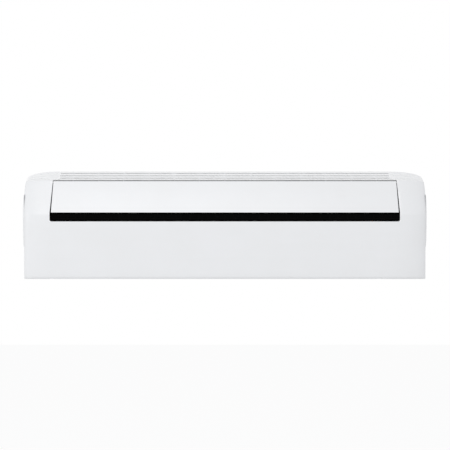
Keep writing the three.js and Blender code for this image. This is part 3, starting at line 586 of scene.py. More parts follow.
# The outline carried from end to end; the end faces close in shrinking rings
def bodySolid(inset, back):
    profile = outline(inset, back)
    turns = [90, 86, 82, 78, 74, 70, 65, 60, 55, 50, 45, 40, 35, 30, 25, 20, 15, 10, 5, 0]
    rings = [0.12, 0.3, 0.5, 0.68, 0.82, 0.92, 0.97]
    stations = [(-1, 90, ring) for ring in rings] + [(-1, t, 1) for t in turns]
    stations += [(side, t, ring) for side, t, ring in ((1, t, r) for _, t, r in reversed(stations))]
    middle = (105, 0)

    def place(u, v):
        side, degrees, ring = stations[round(u * (len(stations) - 1))]
        depth, z = (m + (p - m) * ring for m, p in zip(middle,
                                                       profile[round(v * len(profile)) % len(profile)]))
        return atStation(depth, z, degrees, side, inset)
    return closeSheet(sheetOf(len(stations) - 1, len(profile), place))


# A region bounded by the seam of the top grille: corners are depth, height and droop share
def seamRegion(corners):
    turns = list(range(90, -1, -6))
    stations = [(-1, t) for t in turns] + [(1, t) for t in reversed(turns)]
    start = body["halfWidth"] - body["endRound"]

    def place(u, v):
        side, degrees = stations[round(u * (len(stations) - 1))]
        depth, z, droop = corners[round(v * len(corners)) % len(corners)]
        turn = 1 - math.cos(math.radians(degrees))
        x = start + (widthAt(z) + 10 - start) * math.sin(math.radians(degrees))
        recess = body["endRecess"] * turn * max(0, (depth - body["back"]) / (body["depth"] - body["back"]))
        return side * x, depth - recess, z - body["endDroop"] * turn * droop
    return closeSheet(sheetOf(len(stations) - 1, len(corners), place))


def aboveSeam(clearance):
    low, front = grilleSeam["z"] - clearance, grilleSeam["depth"] + clearance
    return seamRegion([(-20, low, -0.27), (front, low, -0.27), (front, 175, 0), (-20, 175, 0)])


def mouthOutline():
    low, high, half, corner = slotPlace["low"], slotPlace["high"], slotPlace["half"], slotPlace["corner"]
    right = [(half - corner, low)]
    for degrees in range(-75, 1, 15):
        a = math.radians(degrees)
        right.append((half - corner + corner * math.cos(a), low + corner + corner * math.sin(a)))
    right += [(half, high), (slotPlace["lipHalf"], slotPlace["lip"])]
    return right + [(-x, z) for x, z in reversed(right)]


def makeCasing():
    shell = cut(bodySolid(0, body["back"]), [bodySolid(body["wall"], -20)])
    tops = copyOf(shell)
    casing = cut(shell, [
        aboveSeam(grilleSeam["gap"]),
        facing(mouthOutline(), 163, 252),
        block(-474, 474, 182.5, 189.5, 108, 160),
        block(-484, 432, -20, 219.8, -160, -146.1)])
    for side in (-1, 1):
        outer = [(depth, z) for depth, z in ((190.5, 109), (203.2, 109), (200, 121), (190.5, 121))]
        x0, x1 = sorted((side * 476.9, side * 481.5))
        ear = prism(outer, x0, x1)
        casing = cut(casing, [ear], "UNION")
        casing = cut(casing, [rod((side * 473.5, 196.5, 118), (side * 480, 196.5, 118), 2.4)])
    casing = cut(casing, [rod((x, 75, -160), (x, 75, -147.6), 4.9) for x in (-515, 490)])
    casing = cut(casing, [rod((x, 75, -160), (x, 75, -140), 2.5) for x in (-515, 490)])
    tops = cut(tops, [aboveSeam(0)], "INTERSECT", careful=True)
    return casing, tops


def endGroove(depth, side, first):  # carries a slot on round the end of the casing as a shallow groove
    path = [(side * first, depth, topZ(depth) + 0.3)]
    for degrees in range(6, 85, 6):
        x, far, z = atStation(depth, topZ(depth), degrees, side, 0)
        if abs(x) > first + 6:
            path.append((x, far, z + 0.3))
    return tube(path, 2.7, 3)


def makeGrille(tops):
    use = {"first": 25.4, "pitch": 29.4, "count": 6, "gap": 9.0, "half": 458.0, "ribs": 13, "lean": 0.4}
    middles = [use["first"] + k * use["pitch"] for k in range(use["count"])]
    slots = []
    for middle in middles:  # each slot leans towards the wall, so that its far side lies in shade
        edge = stadium(-use["half"], use["half"], middle - use["gap"] / 2, middle + use["gap"] / 2)
        level = topZ(middle)
        slots.append(carried(edge, 100, 165, lambda p, z: (p[0], p[1] + use["lean"] * (z - level), z)))
    grille = cut(tops, slots)
    grille = cut(grille, [endGroove(m, side, use["half"] + 6) for m in middles[-3:] for side in (-1, 1)])
    ribs = []
    for k in range(use["ribs"]):
        x = -420 + 70 * k
        top = 2.2
        ribs.append(prism([(20, 149.2 - top), (90, 149.2 - top), (181, topZ(181) - top),
                           (181, topZ(181) - 8),
                           (90, 140.4), (20, 140.4)], x - 1, x + 1))
    return join("topGrille", [grille] + ribs)


def makeFlap():
    use = {"skin": 2.6, "topHalf": 473.9, "lowHalf": 480.2, "topZ": 121.6, "lowZ": 34.5,
           "hinge": (196.5, 118), "barrel": 3.0}
    low, top = use["lowZ"], use["topZ"]
    slant = use["skin"] * 1.06
    skin = prism(rounded([
        (frontDepth(low) - slant / 2, low, 0), (frontDepth(low), low, 1.2), (frontDepth(top), top, 0.9),
        (frontDepth(top) - slant, top - 0.6, 0.6), (frontDepth(low) - slant, low + 0.8, 0.8),
        (frontDepth(low) - slant / 2, low, 0)], 6)[:-1], -500, 500)
    half = [(use["lowHalf"] + 0.2, low - 4), (use["topHalf"] - 0.1, top + 3)]
    skin = cut(skin, [facing(half + [(-x, z) for x, z in reversed(half)], 150, 260)], "INTERSECT")
    bevel(skin, 0.5, 3, 50)
    depth, z = use["hinge"]
    pieces = [skin]
    for side in (-1, 1):
        x = side * 461.9
        pieces.append(rod((x - 11, depth, z), (x + 11, depth, z), use["barrel"], 32, 0.4))
        pieces.append(prism([(depth - 1, z - 2.6), (frontDepth(z - 3) - 1, z - 3),
                             (frontDepth(z + 2) - 1.5, z + 2),
                             (depth, z + 2.5)], x - 10.9, x + 10.9))
        pieces.append(rod((side * 470.9, depth, z), (side * 478.3, depth, z), 2.0, 28, 0.3))
    for x in (-300, -150, 0, 150, 300):
        pieces.append(prism([(frontDepth(50) - 6, 50), (frontDepth(50) - 2, 50), (frontDepth(108) - 2, 108),
                             (frontDepth(108) - 4, 108)], x - 1, x + 1))
    return join("flap", pieces)


def makeSlotGrid():
    use = {"front": 226.8, "back": 211.0, "half": 485.0, "low": 2.0, "seat": (215, 1), "posts": 41,
           "louvres": 6, "firstLouvre": 11.5, "louvrePitch": 4.6}
    front, back, half, low = use["front"], use["back"], use["half"], use["low"]
    seat, seatZ = use["seat"]
    bar = prism(rounded([(back, low - 4, 0), (front, low - 4, 1), (front, low + 7, 2),
                         (seat + 5, low + 7, 0.8),
                         (seat + 5, seatZ - 1, 0.5), (back, seatZ - 1, 0.4), (back, low - 4, 0)], 5)[:-1],
                -half, half)
    pieces = [bar]
    for k in range(use["louvres"]):  # steep louvres: dark from the room, open to the air
        z = use["firstLouvre"] + k * use["louvrePitch"]
        pieces.append(prism(rounded([(front - 6.1, z + 6, 0), (front - 6.5, z + 5.8, 0.4),
                                     (front - 2.0, z, 0.4),
                                     (front - 1.3, z + 0.5, 0.4), (front - 5.6, z + 6.2, 0.4),
                                     (front - 6.1, z + 6, 0)], 3)[:-1],
                            1 - half, half - 1))
    for k in range(use["posts"]):
        x = -half + 1.5 + k * (2 * half - 3) / (use["posts"] - 1)
        wide = 1.5 if k % 4 == 0 else 0.7
        pieces.append(prism([(front - 6.4, low + 6), (front - 2.4, low + 6), (front - 2.4, 33),
                             (front - 4, 41), (front - 6.4, 43)],
                            x - wide, x + wide))
    return join("slotGrid", pieces)


def makeEndCap(side):
    use = {"low": -61.0, "high": 84.0, "front": 198.0, "back": 22.0, "lip": 1.2, "swell": 4.7,
           "inner": 555.3}
    middle = (use["low"] + use["high"]) / 2 + 18

    def place(u, v):
        u, v = (0.5 - math.cos(math.pi * t) / 2 for t in (u, v))
        z = use["low"] + (use["high"] - use["low"]) * v
        depth = use["back"] + (use["front"] - use["back"]) * u
        reach = use["high"] - middle if z > middle else middle - use["low"]
        across = math.sqrt(max(0, 1 - ((z - middle) / reach) ** 2))
        along = max(0, 1 - abs(2 * u - 1) ** 7) ** 0.5
        edge = min(1, min(v, 1 - v) * 60) ** 0.5
        out = (use["lip"] * edge + (use["swell"] - use["lip"]) * across) * along
        return side * (use["inner"] + out), depth, z
    obj = sheetOf(60, 60, place)
    closeSheet(obj)
    return named(obj, "endCapLeft" if side < 0 else "endCapRight")


def makeVane():
    use = {"left": -471.0, "right": 421.0, "pivot": (169.5, -144), "low": -149.0, "near": 170.0,
           "far": 218.0}
    left, right, low = use["left"], use["right"], use["low"]
    depth, z = use["pivot"]
    plate = prism(rounded([(use["near"], low + 1.6, 0), (use["near"], low + 2.4, 0.2),
                           (use["near"] + 2, low, 1.6),
                           (use["far"], low, 1.2), (use["far"], low + 2.4, 0.9),
                           (use["near"], low + 2.4, 0.2),
                           (use["near"], low + 1.6, 0)], 6)[:-1], left, right)
    pieces = [plate, rod((left, depth, z), (right, depth, z), 3, 28, 0.3),
              prism([(depth - 1.5, z), (depth + 2, z), (depth + 4.5, low + 1), (depth + 1.5, low + 1)],
                    left + 0.2, right - 0.2),
              rod((-477.5, depth, z), (left + 1, depth, z), 1.8, 24, 0.3),
              rod((right - 1, depth, z), (430.5, depth, z), 1.8, 24, 0.3)]
    return join("outletVane", pieces)


# A finished piece: its body and finish, and the CAD nodes that it stands for
def hang(obj, body, look, *replaced):
    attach(obj, body)
    if replaced:
        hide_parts(*replaced)
    return dress(obj, look)


casing, tops = makeCasing()
casing = named(smooth(bevel(casing, 0.45, 2, 50), 30), "casing")
hang(casing, "unit", "white", "front_casing")
print("casing made")
grille = makeGrille(tops)
hang(smooth(bevel(grille, 0.4, 2, 50), 30), "unit", "white", "top_grille")
print("grille made")
hang(smooth(makeFlap(), 35), "flap", "white", "front_flap")
# the slot grille takes the near-black finish that paints the slot's deep shade
hang(smooth(makeSlotGrid(), 35), "unit", "black", "slot_grille")
for side, node in ((-1, "end_cap_left"), (1, "end_cap_right")):
    hang(smooth(makeEndCap(side), 50), "unit", "white", node)
hang(smooth(makeVane(), 35), "vane", "white", "outlet_vane")
print("front pieces made")


# Air filters: a moulded frame on a sloping plane, with a woven net let into it
filterLook = {"low": (215, 1), "high": (189, 119), "spans": {"left": (-470, -36), "right": (-30, 404)},
              "rim": 6.0, "panes": 5, "rows": 3, "thick": 3.0, "tab": 22.0}


def onFilter(point, out):  # x and distance up the plane, then distance in from its outer face
    lowDepth, lowZ = filterLook["low"]
    rise = Vector(filterLook["high"]) - Vector(filterLook["low"])
    rise.normalize()
    return point[0], lowDepth + rise.x * point[1] - rise.y * out, lowZ + rise.y * point[1] + rise.x * out


def plank(x0, x1, s0, s1, t0, t1, place, round=0.0):
    obj = carried([(x0, s0), (x1, s0), (x1, s1), (x0, s1)], t0, t1, place)
    return bevel(obj, round, 2) if round else obj


def makeFilter(side):
    x0, x1 = filterLook["spans"][side]
    rim, thick = filterLook["rim"], filterLook["thick"]
    long = (Vector(filterLook["high"]) - Vector(filterLook["low"])).length
    pieces = [plank(x0, x1, s, s + rim, 0, thick, onFilter, 0.6) for s in (0, long - rim)]
    pieces += [plank(x, x + rim, 1, long - 1, 0.02, thick - 0.02, onFilter, 0.6) for x in (x0, x1 - rim)]
    panes, rows = filterLook["panes"], filterLook["rows"]
    for k in range(1, panes * 2):
        x = x0 + (x1 - x0) * k / (panes * 2)
        half = 1.2 if k % 2 == 0 else 0.6
        pieces.append(plank(x - half, x + half, 2, long - 2, 0.25 if k % 2 == 0 else 0.9, thick - 0.4,
                            onFilter, 0.25))
    for k in range(1, rows + 1):
        s = long * k / (rows + 1)
        pieces.append(plank(x0 + 2, x1 - 2, s - 0.8, s + 0.8, 0.4, thick - 0.5, onFilter, 0.25))
    middle, tab = (x0 + x1) / 2, filterLook["tab"]
    pieces.append(plank(middle - tab, middle + tab, long - 5, long + 6, 0.4, 2.5, onFilter, 0.8))
    pieces += [plank(middle - tab + 6, middle + tab - 6, long + s, long + s + 0.8, 0.1, 1, onFilter, 0.2)
               for s in (1, 2.8, 4.6)]
    frame = smooth(join("filterFrame" + side.capitalize(), pieces), 35)
    net = plank(x0 + 3, x1 - 3, 3, long - 3, 1.35, 1.6, onFilter)
    net = named(net, "filterNet" + side.capitalize())
    hang(frame, side + "_filter", "frame", "filter_" + side)
    hang(net, side + "_filter", "net", "filter_" + side)


# Coil: close fins on copper tubes, with hairpin bends outside each end plate
coil = {
    "left": -467.7, "right": 403.7, "pitch": 1.6, "fin": 0.22, "thick": 25.0, "plate": 1.6, "gap": 0.3,
    "slabs": {"coil_front_lower": ((201.6, -52.7), (201.6, 30)),
              "coil_front_upper": ((200.5, 46), (152, 114)),
              "coil_rear": ((112, 116), (40.7, 64.3))},
    "tubePitch": 18.0, "tube": 3.4,
}


def slabAxes(start, end):  # length, direction along a slab, and its thickness inward
    along = Vector(end) - Vector(start)
    length = along.length
    along.normalize()
    return length, along, Vector((-along.y, along.x)) * coil["thick"]


def slabOutline(start, end, waves):
    length, along, inward = slabAxes(start, end)
    steps = max(2, round(length / 4.5))
    front, back = [], []
    for k in range(steps + 1):
        nudge = waves * (k % 2) / coil["thick"]
        front.append(Vector(start) + along * (length * k / steps) + inward * nudge)
        back.append(Vector(start) + along * (length * k / steps) + inward * (1 - nudge))
    return [tuple(p) for p in front + back[::-1]]


def makeCoilSlab(node):
    start, end = coil["slabs"][node]
    count = int((coil["right"] - coil["left"]) / coil["pitch"])
    fin = prism(slabOutline(start, end, 0.8), coil["left"] + 0.2, coil["left"] + 0.2 + coil["fin"])
    fins = modify(fin, "ARRAY", count=count, use_relative_offset=False, use_constant_offset=True,
                  constant_offset_displace=(coil["pitch"] * mm, 0, 0))
    words = node.split("_")
    name = words[0] + "".join(word.capitalize() for word in words[1:])
    hang(named(fins, name + "Fins"), "unit", "fins", node)
    length, along, inward = slabAxes(start, end)
    tubes = []
    number = int(length // coil["tubePitch"])
    for row, shift in ((0.28, 0.35), (0.72, 0.65)):  # two rows of tubes, set half a pitch apart
        for k in range(number):
            place = Vector(start) + along * (length * (k + shift) / number) + inward * row
            tubes.append(rod((coil["left"], place.x, place.y), (coil["right"], place.x, place.y),
                             coil["tube"], 20))
    hang(smooth(join(name + "Tubes", tubes), 40), "unit", "copper", node)


plateShape = [(56, -52.7), (29.8, -52.7), (29.8, 38), (31, 46.5), (79, 116.5), (122, 119), (192, 66),
              (178.5, 42),
              (106, 93.5), (101, 97), (56, 33)]
bendPairs = [((189, -44), (189, -26)), ((189, -8), (189, 20)), ((184, 54), (173, 70)), ((83, 85), (68, 74))]
leftBends = [((162, 85), (151, 100)), ((112, 106), (98, 96))]


def makeCoilPlate(side):
    outer = [(body["depth"] - inward, z, 2.5) for inward, z in plateShape]
    outline = rounded([outer[0]] + outer[1:] + [outer[0]], 3)[:-1]
    x0 = coil["left"] - coil["gap"] - coil["plate"] if side < 0 else coil["right"] + coil["gap"]
    plate = bevel(prism(outline, x0, x0 + coil["plate"]), 0.25, 2)
    root = x0 + 0.4 if side < 0 else x0 + coil["plate"] - 0.4
    bends = []
    for (d0, z0), (d1, z1) in bendPairs + (leftBends if side < 0 else []):
        path = catmull([(root, d0, z0), (root + side * 1.8, d0, z0),
                        (root + side * 3, (d0 * 3 + d1) / 4, (z0 * 3 + z1) / 4),
                        (root + side * 3, (d0 + d1 * 3) / 4, (z0 + z1 * 3) / 4),
                        (root + side * 1.8, d1, z1), (root, d1, z1)], 5)
        bends.append(tube(path, 2.2))
    word = "Left" if side < 0 else "Right"
    node = "coil_plate_" + word.lower()
    hang(smooth(named(plate, "coilPlate" + word), 35), "unit", "zinc", node)
    hang(smooth(join("coilBends" + word, bends), 40), "unit", "copper", node)


# Pipes: out of the coil's right end, down behind the motor and left along the channel
pipes = {
    "gas": {"radius": 6.35, "exit": (100, 97), "drop": (440, 32), "run": (30, -110), "nut": (13.0, 26.0)},
    "liquid": {"radius": 3.2, "exit": (160, 92), "drop": (452, 32), "run": (30, -132), "nut": (9.0, 22.0)},
}
pipeEnd = -430.0


def makePipe(name):
    use = pipes[name]
    radius, (depth, z), (x, dropDepth), (runDepth,
                                         runZ) = use["radius"], use["exit"], use["drop"], use["run"]
    start = 405.9
    path = catmull([(start, depth, z), (start + 12, depth, z), (431, depth, z), (x - 3, depth - 6, z - 1),
                    (x, dropDepth + 36, z - 8), (x, dropDepth + 10, z - 18), (x, dropDepth, z - 32),
                    (x, dropDepth, -20),
                    (x, dropDepth, runZ + 22), (x - 3, dropDepth - 1, runZ + 8), (x - 12, runDepth, runZ),
                    (x - 30, runDepth, runZ), (pipeEnd - 12, runDepth, runZ)], 8)
    hang(smooth(named(tube(path, radius, 7), name + "Pipe"), 40), "unit", "copper", name + "_pipe")
    nutRadius, long = use["nut"]
    left = pipeEnd - long

    def turned(a, b, r, sides=40, chamfer=0.5):
        return rod((a, runDepth, runZ), (b, runDepth, runZ), r, sides, chamfer)
    hexagon = cut(turned(left + 4, pipeEnd - 3, nutRadius, 6, 0.5),
                  [turned(left + 3.9, pipeEnd - 2.9, nutRadius * 0.955, 48, 2.0)],
                  "INTERSECT")
    pieces = [hexagon, turned(left, left + 4.2, nutRadius * 0.8),
              turned(pipeEnd - 3.2, pipeEnd, nutRadius * 0.8)]
    hole = [rod((left - 1, runDepth, runZ), (pipeEnd + 1, runDepth, runZ), radius + 0.3, 32)
            for _ in pieces]
    pieces = [cut(piece, [tool]) for piece, tool in zip(pieces, hole)]
    hang(smooth(join(name + "Nut", pieces), 35), "unit", "brass", name + "_flare_nut")


# Cross-flow fan: forward-curved blades between rings
fanLook = {"depth": 112, "z": -42, "radius": 52.0, "hub": 40.0, "left": -460, "right": 416, "blades": 35,
           "rings": 7, "shaft": 4.0}


def makeFan():
    depth, z, radius, hub = fanLook["depth"], fanLook["z"], fanLook["radius"], fanLook["hub"]
    left, right = fanLook["left"], fanLook["right"]
    pieces = []
    steps = 7
    for k in range(fanLook["blades"]):
        turn = 360 * k / fanLook["blades"]
        outer, inner = [], []
        for j in range(steps + 1):
            share = j / steps
            r = hub + 0.6 + (radius - 0.7 - hub - 0.6) * share
            sweep = turn + 1.2 + 8.4 * share ** 1.5
            half = 0.55 + 0.45 * math.sin(math.pi * share)
            spread = math.degrees(half / r)
            for path, sign in ((outer, 1), (inner, -1)):
                a = math.radians(sweep + sign * spread)
                path.append((depth + r * math.cos(a), z + r * math.sin(a)))
        pieces.append(prism(outer + inner[::-1], left + 1, right - 1))
    for x in (left, right - 3):
        pieces.append(rod((x, depth, z), (x + 3, depth, z), radius, 96, 0.5))
        pieces.append(rod((x - 0.4, depth, z), (x + 3.4, depth, z), 16, 48, 0.3))
    for k in range(1, fanLook["rings"] + 1):
        x = left + (right - left) * k / (fanLook["rings"] + 1)
        ring = cut(rod((x, depth, z), (x + 2.4, depth, z), radius - 0.1, 96),
                   [rod((x - 1, depth, z), (x + 4, depth, z), hub - 2, 72)])
        pieces.append(ring)
    for a, b in ((left - 22, left + 1), (right - 1, 442)):
        pieces.append(rod((a, depth, z), (b, depth, z), fanLook["shaft"], 32, 0.4))
    hang(smooth(join("fanRotor", pieces), 35), "fan", "dark", "fan_rotor")


# Guide vanes on the outlet floor, and the bar that links each group
guideLook = {"depth": 148, "z": -136.154, "lean": 35, "tall": 44.0, "thick": 1.6, "crank": 14.0,
             "xs": {"left": (-95, -199, -303, -407), "right": (45, 149, 253, 357)}}


def atGuide(x, y, up):
    lean = math.radians(guideLook["lean"])
    return (x, guideLook["depth"] - y * math.cos(lean) + up * math.sin(lean),
            guideLook["z"] + y * math.sin(lean) + up * math.cos(lean))


def makeGuides(side):
    tall, thick, crank = guideLook["tall"], guideLook["thick"], guideLook["crank"]
    corners = [(4, 1.4, 0), (13, 1.4, 2), (16.5, 6.4, 2), (16.5, tall - 12, 6), (6, tall, 2), (-4, tall, 0.6),
               (-5, tall - 5, 1), (-15, tall - 5, 3), (-15, 7.4, 3), (-9, 1.4, 2), (4, 1.4, 0)]
    outline = rounded(corners, 5)[:-1]
    for k, x in enumerate(guideLook["xs"][side], 1):
        blade = carried(outline, x - thick / 2, x + thick / 2, lambda p, t: atGuide(t, p[0], p[1]))
        bevel(blade, 0.45, 3, 50)
        pins = [rod(atGuide(x, 0, 1.4), atGuide(x, 0, 13.4), 2.6, 28, 0.5),
                rod(atGuide(x, 0, -1.8), atGuide(x, 0, 2.4), 1.6, 24, 0.2),
                rod(atGuide(x, -crank, tall - 7), atGuide(x, -crank, tall - 1), 1.2, 24, 0.3)]
        guide = smooth(join(f"guide{side.capitalize()}{k}", [blade] + pins), 40)
        hang(guide, f"guide_{side}_{k}", "dark", f"guide_vane_{side}_{k}")
    xs = sorted(guideLook["xs"][side])
    low = tall - 4.6

    def onBar(point, up):
        return atGuide(point[0], point[1], up)
    bar = bevel(plank(xs[0] - 8, xs[-1] + 8, -crank - 4, 7 - crank, low, low + 1.8, onBar), 0.5, 3)
    holes = [plank(x - 1.7, x + 1.7, -crank - 1.7, 3.7 - crank, low - 1, low + 3, onBar) for x in xs]
    hang(smooth(named(cut(bar, holes), "linkBar" + side.capitalize()), 35), "bar_" + side, "dark",
         "link_bar_" + side)


# Wall plate: pressed sheet with slots, screw holes and stiffening beads
plateLook = {"half": 380.0, "low": -70.0, "high": 120.0, "thick": 1.5, "slotXs": (120, 270),
             "slotZs": (-35, 25, 80),
             "hookXs": (-290, 290), "holeXs": (-350, -200, -40, 40, 200, 350), "beadZs": (-8, 52)}


def makeWallPlate():
    half, low, high, thick = plateLook["half"], plateLook["low"], plateLook["high"], plateLook["thick"]
    outline = rounded([(0, low, 0), (half - 20, low, 8), (half, low + 20, 8), (half, high - 8, 4),
                       (half - 8, high, 4),
                       (8 - half, high, 4), (-half, high - 8, 4), (-half, low + 20, 8),
                       (20 - half, low, 8), (0, low, 0)], 5)[:-1]
    plate = facing(outline, 0, thick)
    tools = [facing(stadium(side * x - 18, side * x + 18, z - 5, z + 5), -1, thick + 1)
             for side in (-1, 1) for x in plateLook["slotXs"] for z in plateLook["slotZs"]]
    tools += [rod((x, -1, z), (x, thick + 1, z), 2.6, 28) for x in plateLook["holeXs"] for z in (-58, 104)]
    tools += [facing(stadium(side * 195 - 150, side * 195 + 150, z - 3, z + 3), -1, 0.7)
              for side in (-1, 1) for z in plateLook["beadZs"]]
    plate = bevel(cut(plate, tools), 0.2, 2, 50)
    hooks = []
    for x in plateLook["hookXs"]:
        hooks.append(block(x - 14, x + 14, thick - 1, 12.7, high - 14, high - 12, 0.5, 2))
        hooks.append(block(x - 14, x + 14, 11.2, 12.7, high - 13, high - 5, 0.5, 2))
    hooks.append(block(12 - half, half - 12, thick - 0.5, 6, high - 1.5, high, 0.4, 2))
    hang(smooth(join("wallPlate", [plate] + hooks), 35), "unit", "zinc", "mounting_plate")


for side in ("left", "right"):
    makeFilter(side)
    makeGuides(side)
print("filters and guides made")
for node in coil["slabs"]:
    makeCoilSlab(node)
for side in (-1, 1):
    makeCoilPlate(side)
for name in pipes:
    makePipe(name)
print("coil and pipes made")
makeFan()
makeWallPlate()
print("fan and wall plate made")


# Chassis: back wall, scroll round the fan, end walls and the channel for the pipes
fanAxis = (112, -42)
chassisLook = {
    "near": 13, "far": 16, "side": 551.7, "left": -478, "right": 425, "thick": 3, "shelfZ": -88,
    "channel": 48,
    "lowZ": -145.9, "lip": (164, -146), "screwXs": (-515, 490), "coilEnds": (-470.2, 405.9),
}
endWallOutline = [(14, -84), (49, -84), (49, -146), (176, -146), (176, -126), (205, -72), (205, 44),
                  (180, 108),
                  (160, 124), (95, 140), (14, 140)]
drainPlace, vanePlace = (192, -56), (169.5, -144)


def lengthways(place, x0, x1, radius, sides=32, chamfer=0.0):  # a rod along x at a depth and height
    return rod((x0, *place), (x1, *place), radius, sides, chamfer)


def scrollOutline():
    def ring(radius, degrees):
        a = math.radians(degrees)
        return fanAxis[0] + radius * math.cos(a), fanAxis[1] + radius * math.sin(a)
    turns = [(135 + 3 * k, 57 + k / 3) for k in range(46)]
    inner = [ring(radius, turn) for turn, radius in turns]
    outer = [ring(radius + 3, turn) for turn, radius in turns]
    lipDepth, lipZ = chassisLook["lip"]
    return inner + [(lipDepth, lipZ), (lipDepth, lipZ - 3)] + outer[::-1]


def makeEndWall(x):
    thick = chassisLook["thick"]
    outline = rounded([(depth, z, 3) for depth, z in endWallOutline + endWallOutline[:1]], 4)[:-1]
    bores = [lengthways(fanAxis, x - 5, x + 8, 22 if x < 0 else 30, 64),
             lengthways(drainPlace, x - 5, x + 8, 7),
             lengthways(vanePlace, x - 5, x + 8, 3.4)]
    if x > 0:
        bores += [lengthways(use["exit"], x - 5, x + 8, use["radius"] + 1.5) for use in pipes.values()]
    return bevel(cut(prism(outline, x, x + thick), bores), 0.4, 2, 50)


def makeChassis():
    look = chassisLook
    near, far, side, left, right = look["near"], look["far"], look["side"], look["left"], look["right"]
    half = [(side, -91, 2), (side, 30, 8), (side - 6, 84, 12), (538, 116, 10), (520, 134, 10),
            (480, 143, 10), (460, 145.7, 10)]
    outline = rounded([(0, -91, 0)] + half + [(-x, z, r) for x, z, r in half[::-1]] + [(0, -91, 0)], 5)[:-1]
    pieces = [bevel(facing(outline, near, far), 0.6, 2, 50)]
    for x in (-500, -420, -180, -80, 80, 180, 420, 500):
        pieces.append(block(x - 1.2, x + 1.2, near - 0.8, near + 0.2, -80, 108, 0.35, 2))
    for z in (-86, 126):
        pieces.append(block(-496, 496, near - 0.8, near + 0.2, z - 1.2, z + 1.2, 0.35, 2))
    step = block(-side, side, near, look["channel"] + 3, look["shelfZ"] - 3, look["shelfZ"], 0.5)
    drops = []
    for use in pipes.values():
        r, (dropX, dropDepth) = use["radius"] + 1.5, use["drop"]
        hole = [(x + dropX, depth + dropDepth) for x, depth in stadium(-r, r, -r, r)]
        drops.append(upright(hole, -99, -80))
    pieces.append(cut(step, drops))
    pieces.append(block(-side, side, look["channel"], look["channel"] + 3, look["lowZ"], look["shelfZ"],
                        0.5))
    pieces.append(block(left, right + 3, look["channel"], 164, -149, -145.8, 0.4))
    pieces += [makeEndWall(x) for x in (left, right)]
    for x in look["screwXs"]:
        tab = block(x - 14, x + 14, look["channel"], 88, look["lowZ"], look["lowZ"] + 14, 1.2, 3)
        pieces.append(cut(tab, [rod((x, 75, -151), (x, 75, -134.9), 1.9)]))
    rib = [(near, -60), (50, -60), (60, -20), (60, 20), (near, 60)]
    for x in (-300, -150, 0, 150, 300):
        pieces.append(cut(prism(rib, x - 1, x + 1),
                          [prism(scrollOutline()[:46] + [fanAxis], x - 2, x + 2)]))
    for depth0, depth1, z0, z1 in ((47, 58, 53, 66), (186, 200, 28, 43)):
        pieces.append(block(left + 1, look["coilEnds"][0], depth0, depth1, z0, z1, 0.8))
        pieces.append(block(look["coilEnds"][1], right + 1, depth0, depth1, z0, z1, 0.8))
    pieces.append(block(right + 1, 436.7, 170, 190, 28, 38, 0.8))
    trough = [(near + 1, 30), (61, 30), (62, 44), (60, 44), (58, 33), (near + 1, 33)]
    pieces.append(bevel(prism(trough, left + 1, right + 1), 0.3, 2, 50))
    pieces.append(block(left + 1, right + 1, near + 1, 35, 60, 62.5, 0.4))
    pieces += [block(x - 12, x + 12, 1.8, near + 1, z - 12, z + 12, 1, 2) for x in (-340, 340)
               for z in (-40, 90)]
    scroll = prism(scrollOutline(), left + 1, right + 1)
    sockets = [rod(atGuide(x, 0, -8), atGuide(x, 0, 4.4), 1.9, 24) for xs in guideLook["xs"].values()
               for x in xs]
    pieces.append(cut(scroll, sockets))
    hang(smooth(join("chassisShell", pieces), 30), "unit", "grey", "chassis")


# Drain pan with its two troughs, spigot and plug
def makeDrain():
    def placed(points, radius):
        points = [(body["depth"] - inward, z, radius) for inward, z in points]
        return rounded(points + points[:1], 4)[:-1]
    outer = placed([(62, -42), (59, -42), (57, -53), (22, -53), (20, -40), (17, -40), (13.7, -100),
                    (14.4, -126),
                    (19, -126), (63, -76), (66, -62)], 0.9)
    hollow = placed([(46, -58), (23, -58), (18.5, -104), (20, -118), (56, -78)], 3)
    spans = ((-478, -29.5), (-23.5, 425))
    pan = cut(prism(outer, -474.7, 424.7), [prism(hollow, x0, x1) for x0, x1 in spans])
    pan = cut(pan, [lengthways((drainPlace[0], drainPlace[1] + 6), 405, 426, 2.4, 24)])
    hang(smooth(named(bevel(pan, 0.3, 2, 50), "drainPanShell"), 35), "unit", "pan", "drain_pan")
    spout = [lengthways(drainPlace, 428.3, 454.3, 9, 48, 0.4),
             lengthways(drainPlace, 428.3, 430.8, 11, 48, 0.4)]
    spout += [lengthways(drainPlace, x, x + 1.6, 9.6, 48, 0.5) for x in (440, 445, 450)]
    spout = [cut(piece, [lengthways(drainPlace, 427, 456, 7, 40)]) for piece in spout]
    hang(smooth(join("drainSpout", spout), 35), "unit", "dark", "drain_spigot")
    plug = [lengthways(drainPlace, -481.3, -478.3, 9.5, 48, 0.8),
            lengthways(drainPlace, -479.3, -475.3, 6.6, 40, 0.5),
            block(-481.9, -480.9, 190.8, 193.2, -62, -50, 0.4)]
    hang(smooth(join("drainStopper", plug), 35), "unit", "rubber", "drain_plug")


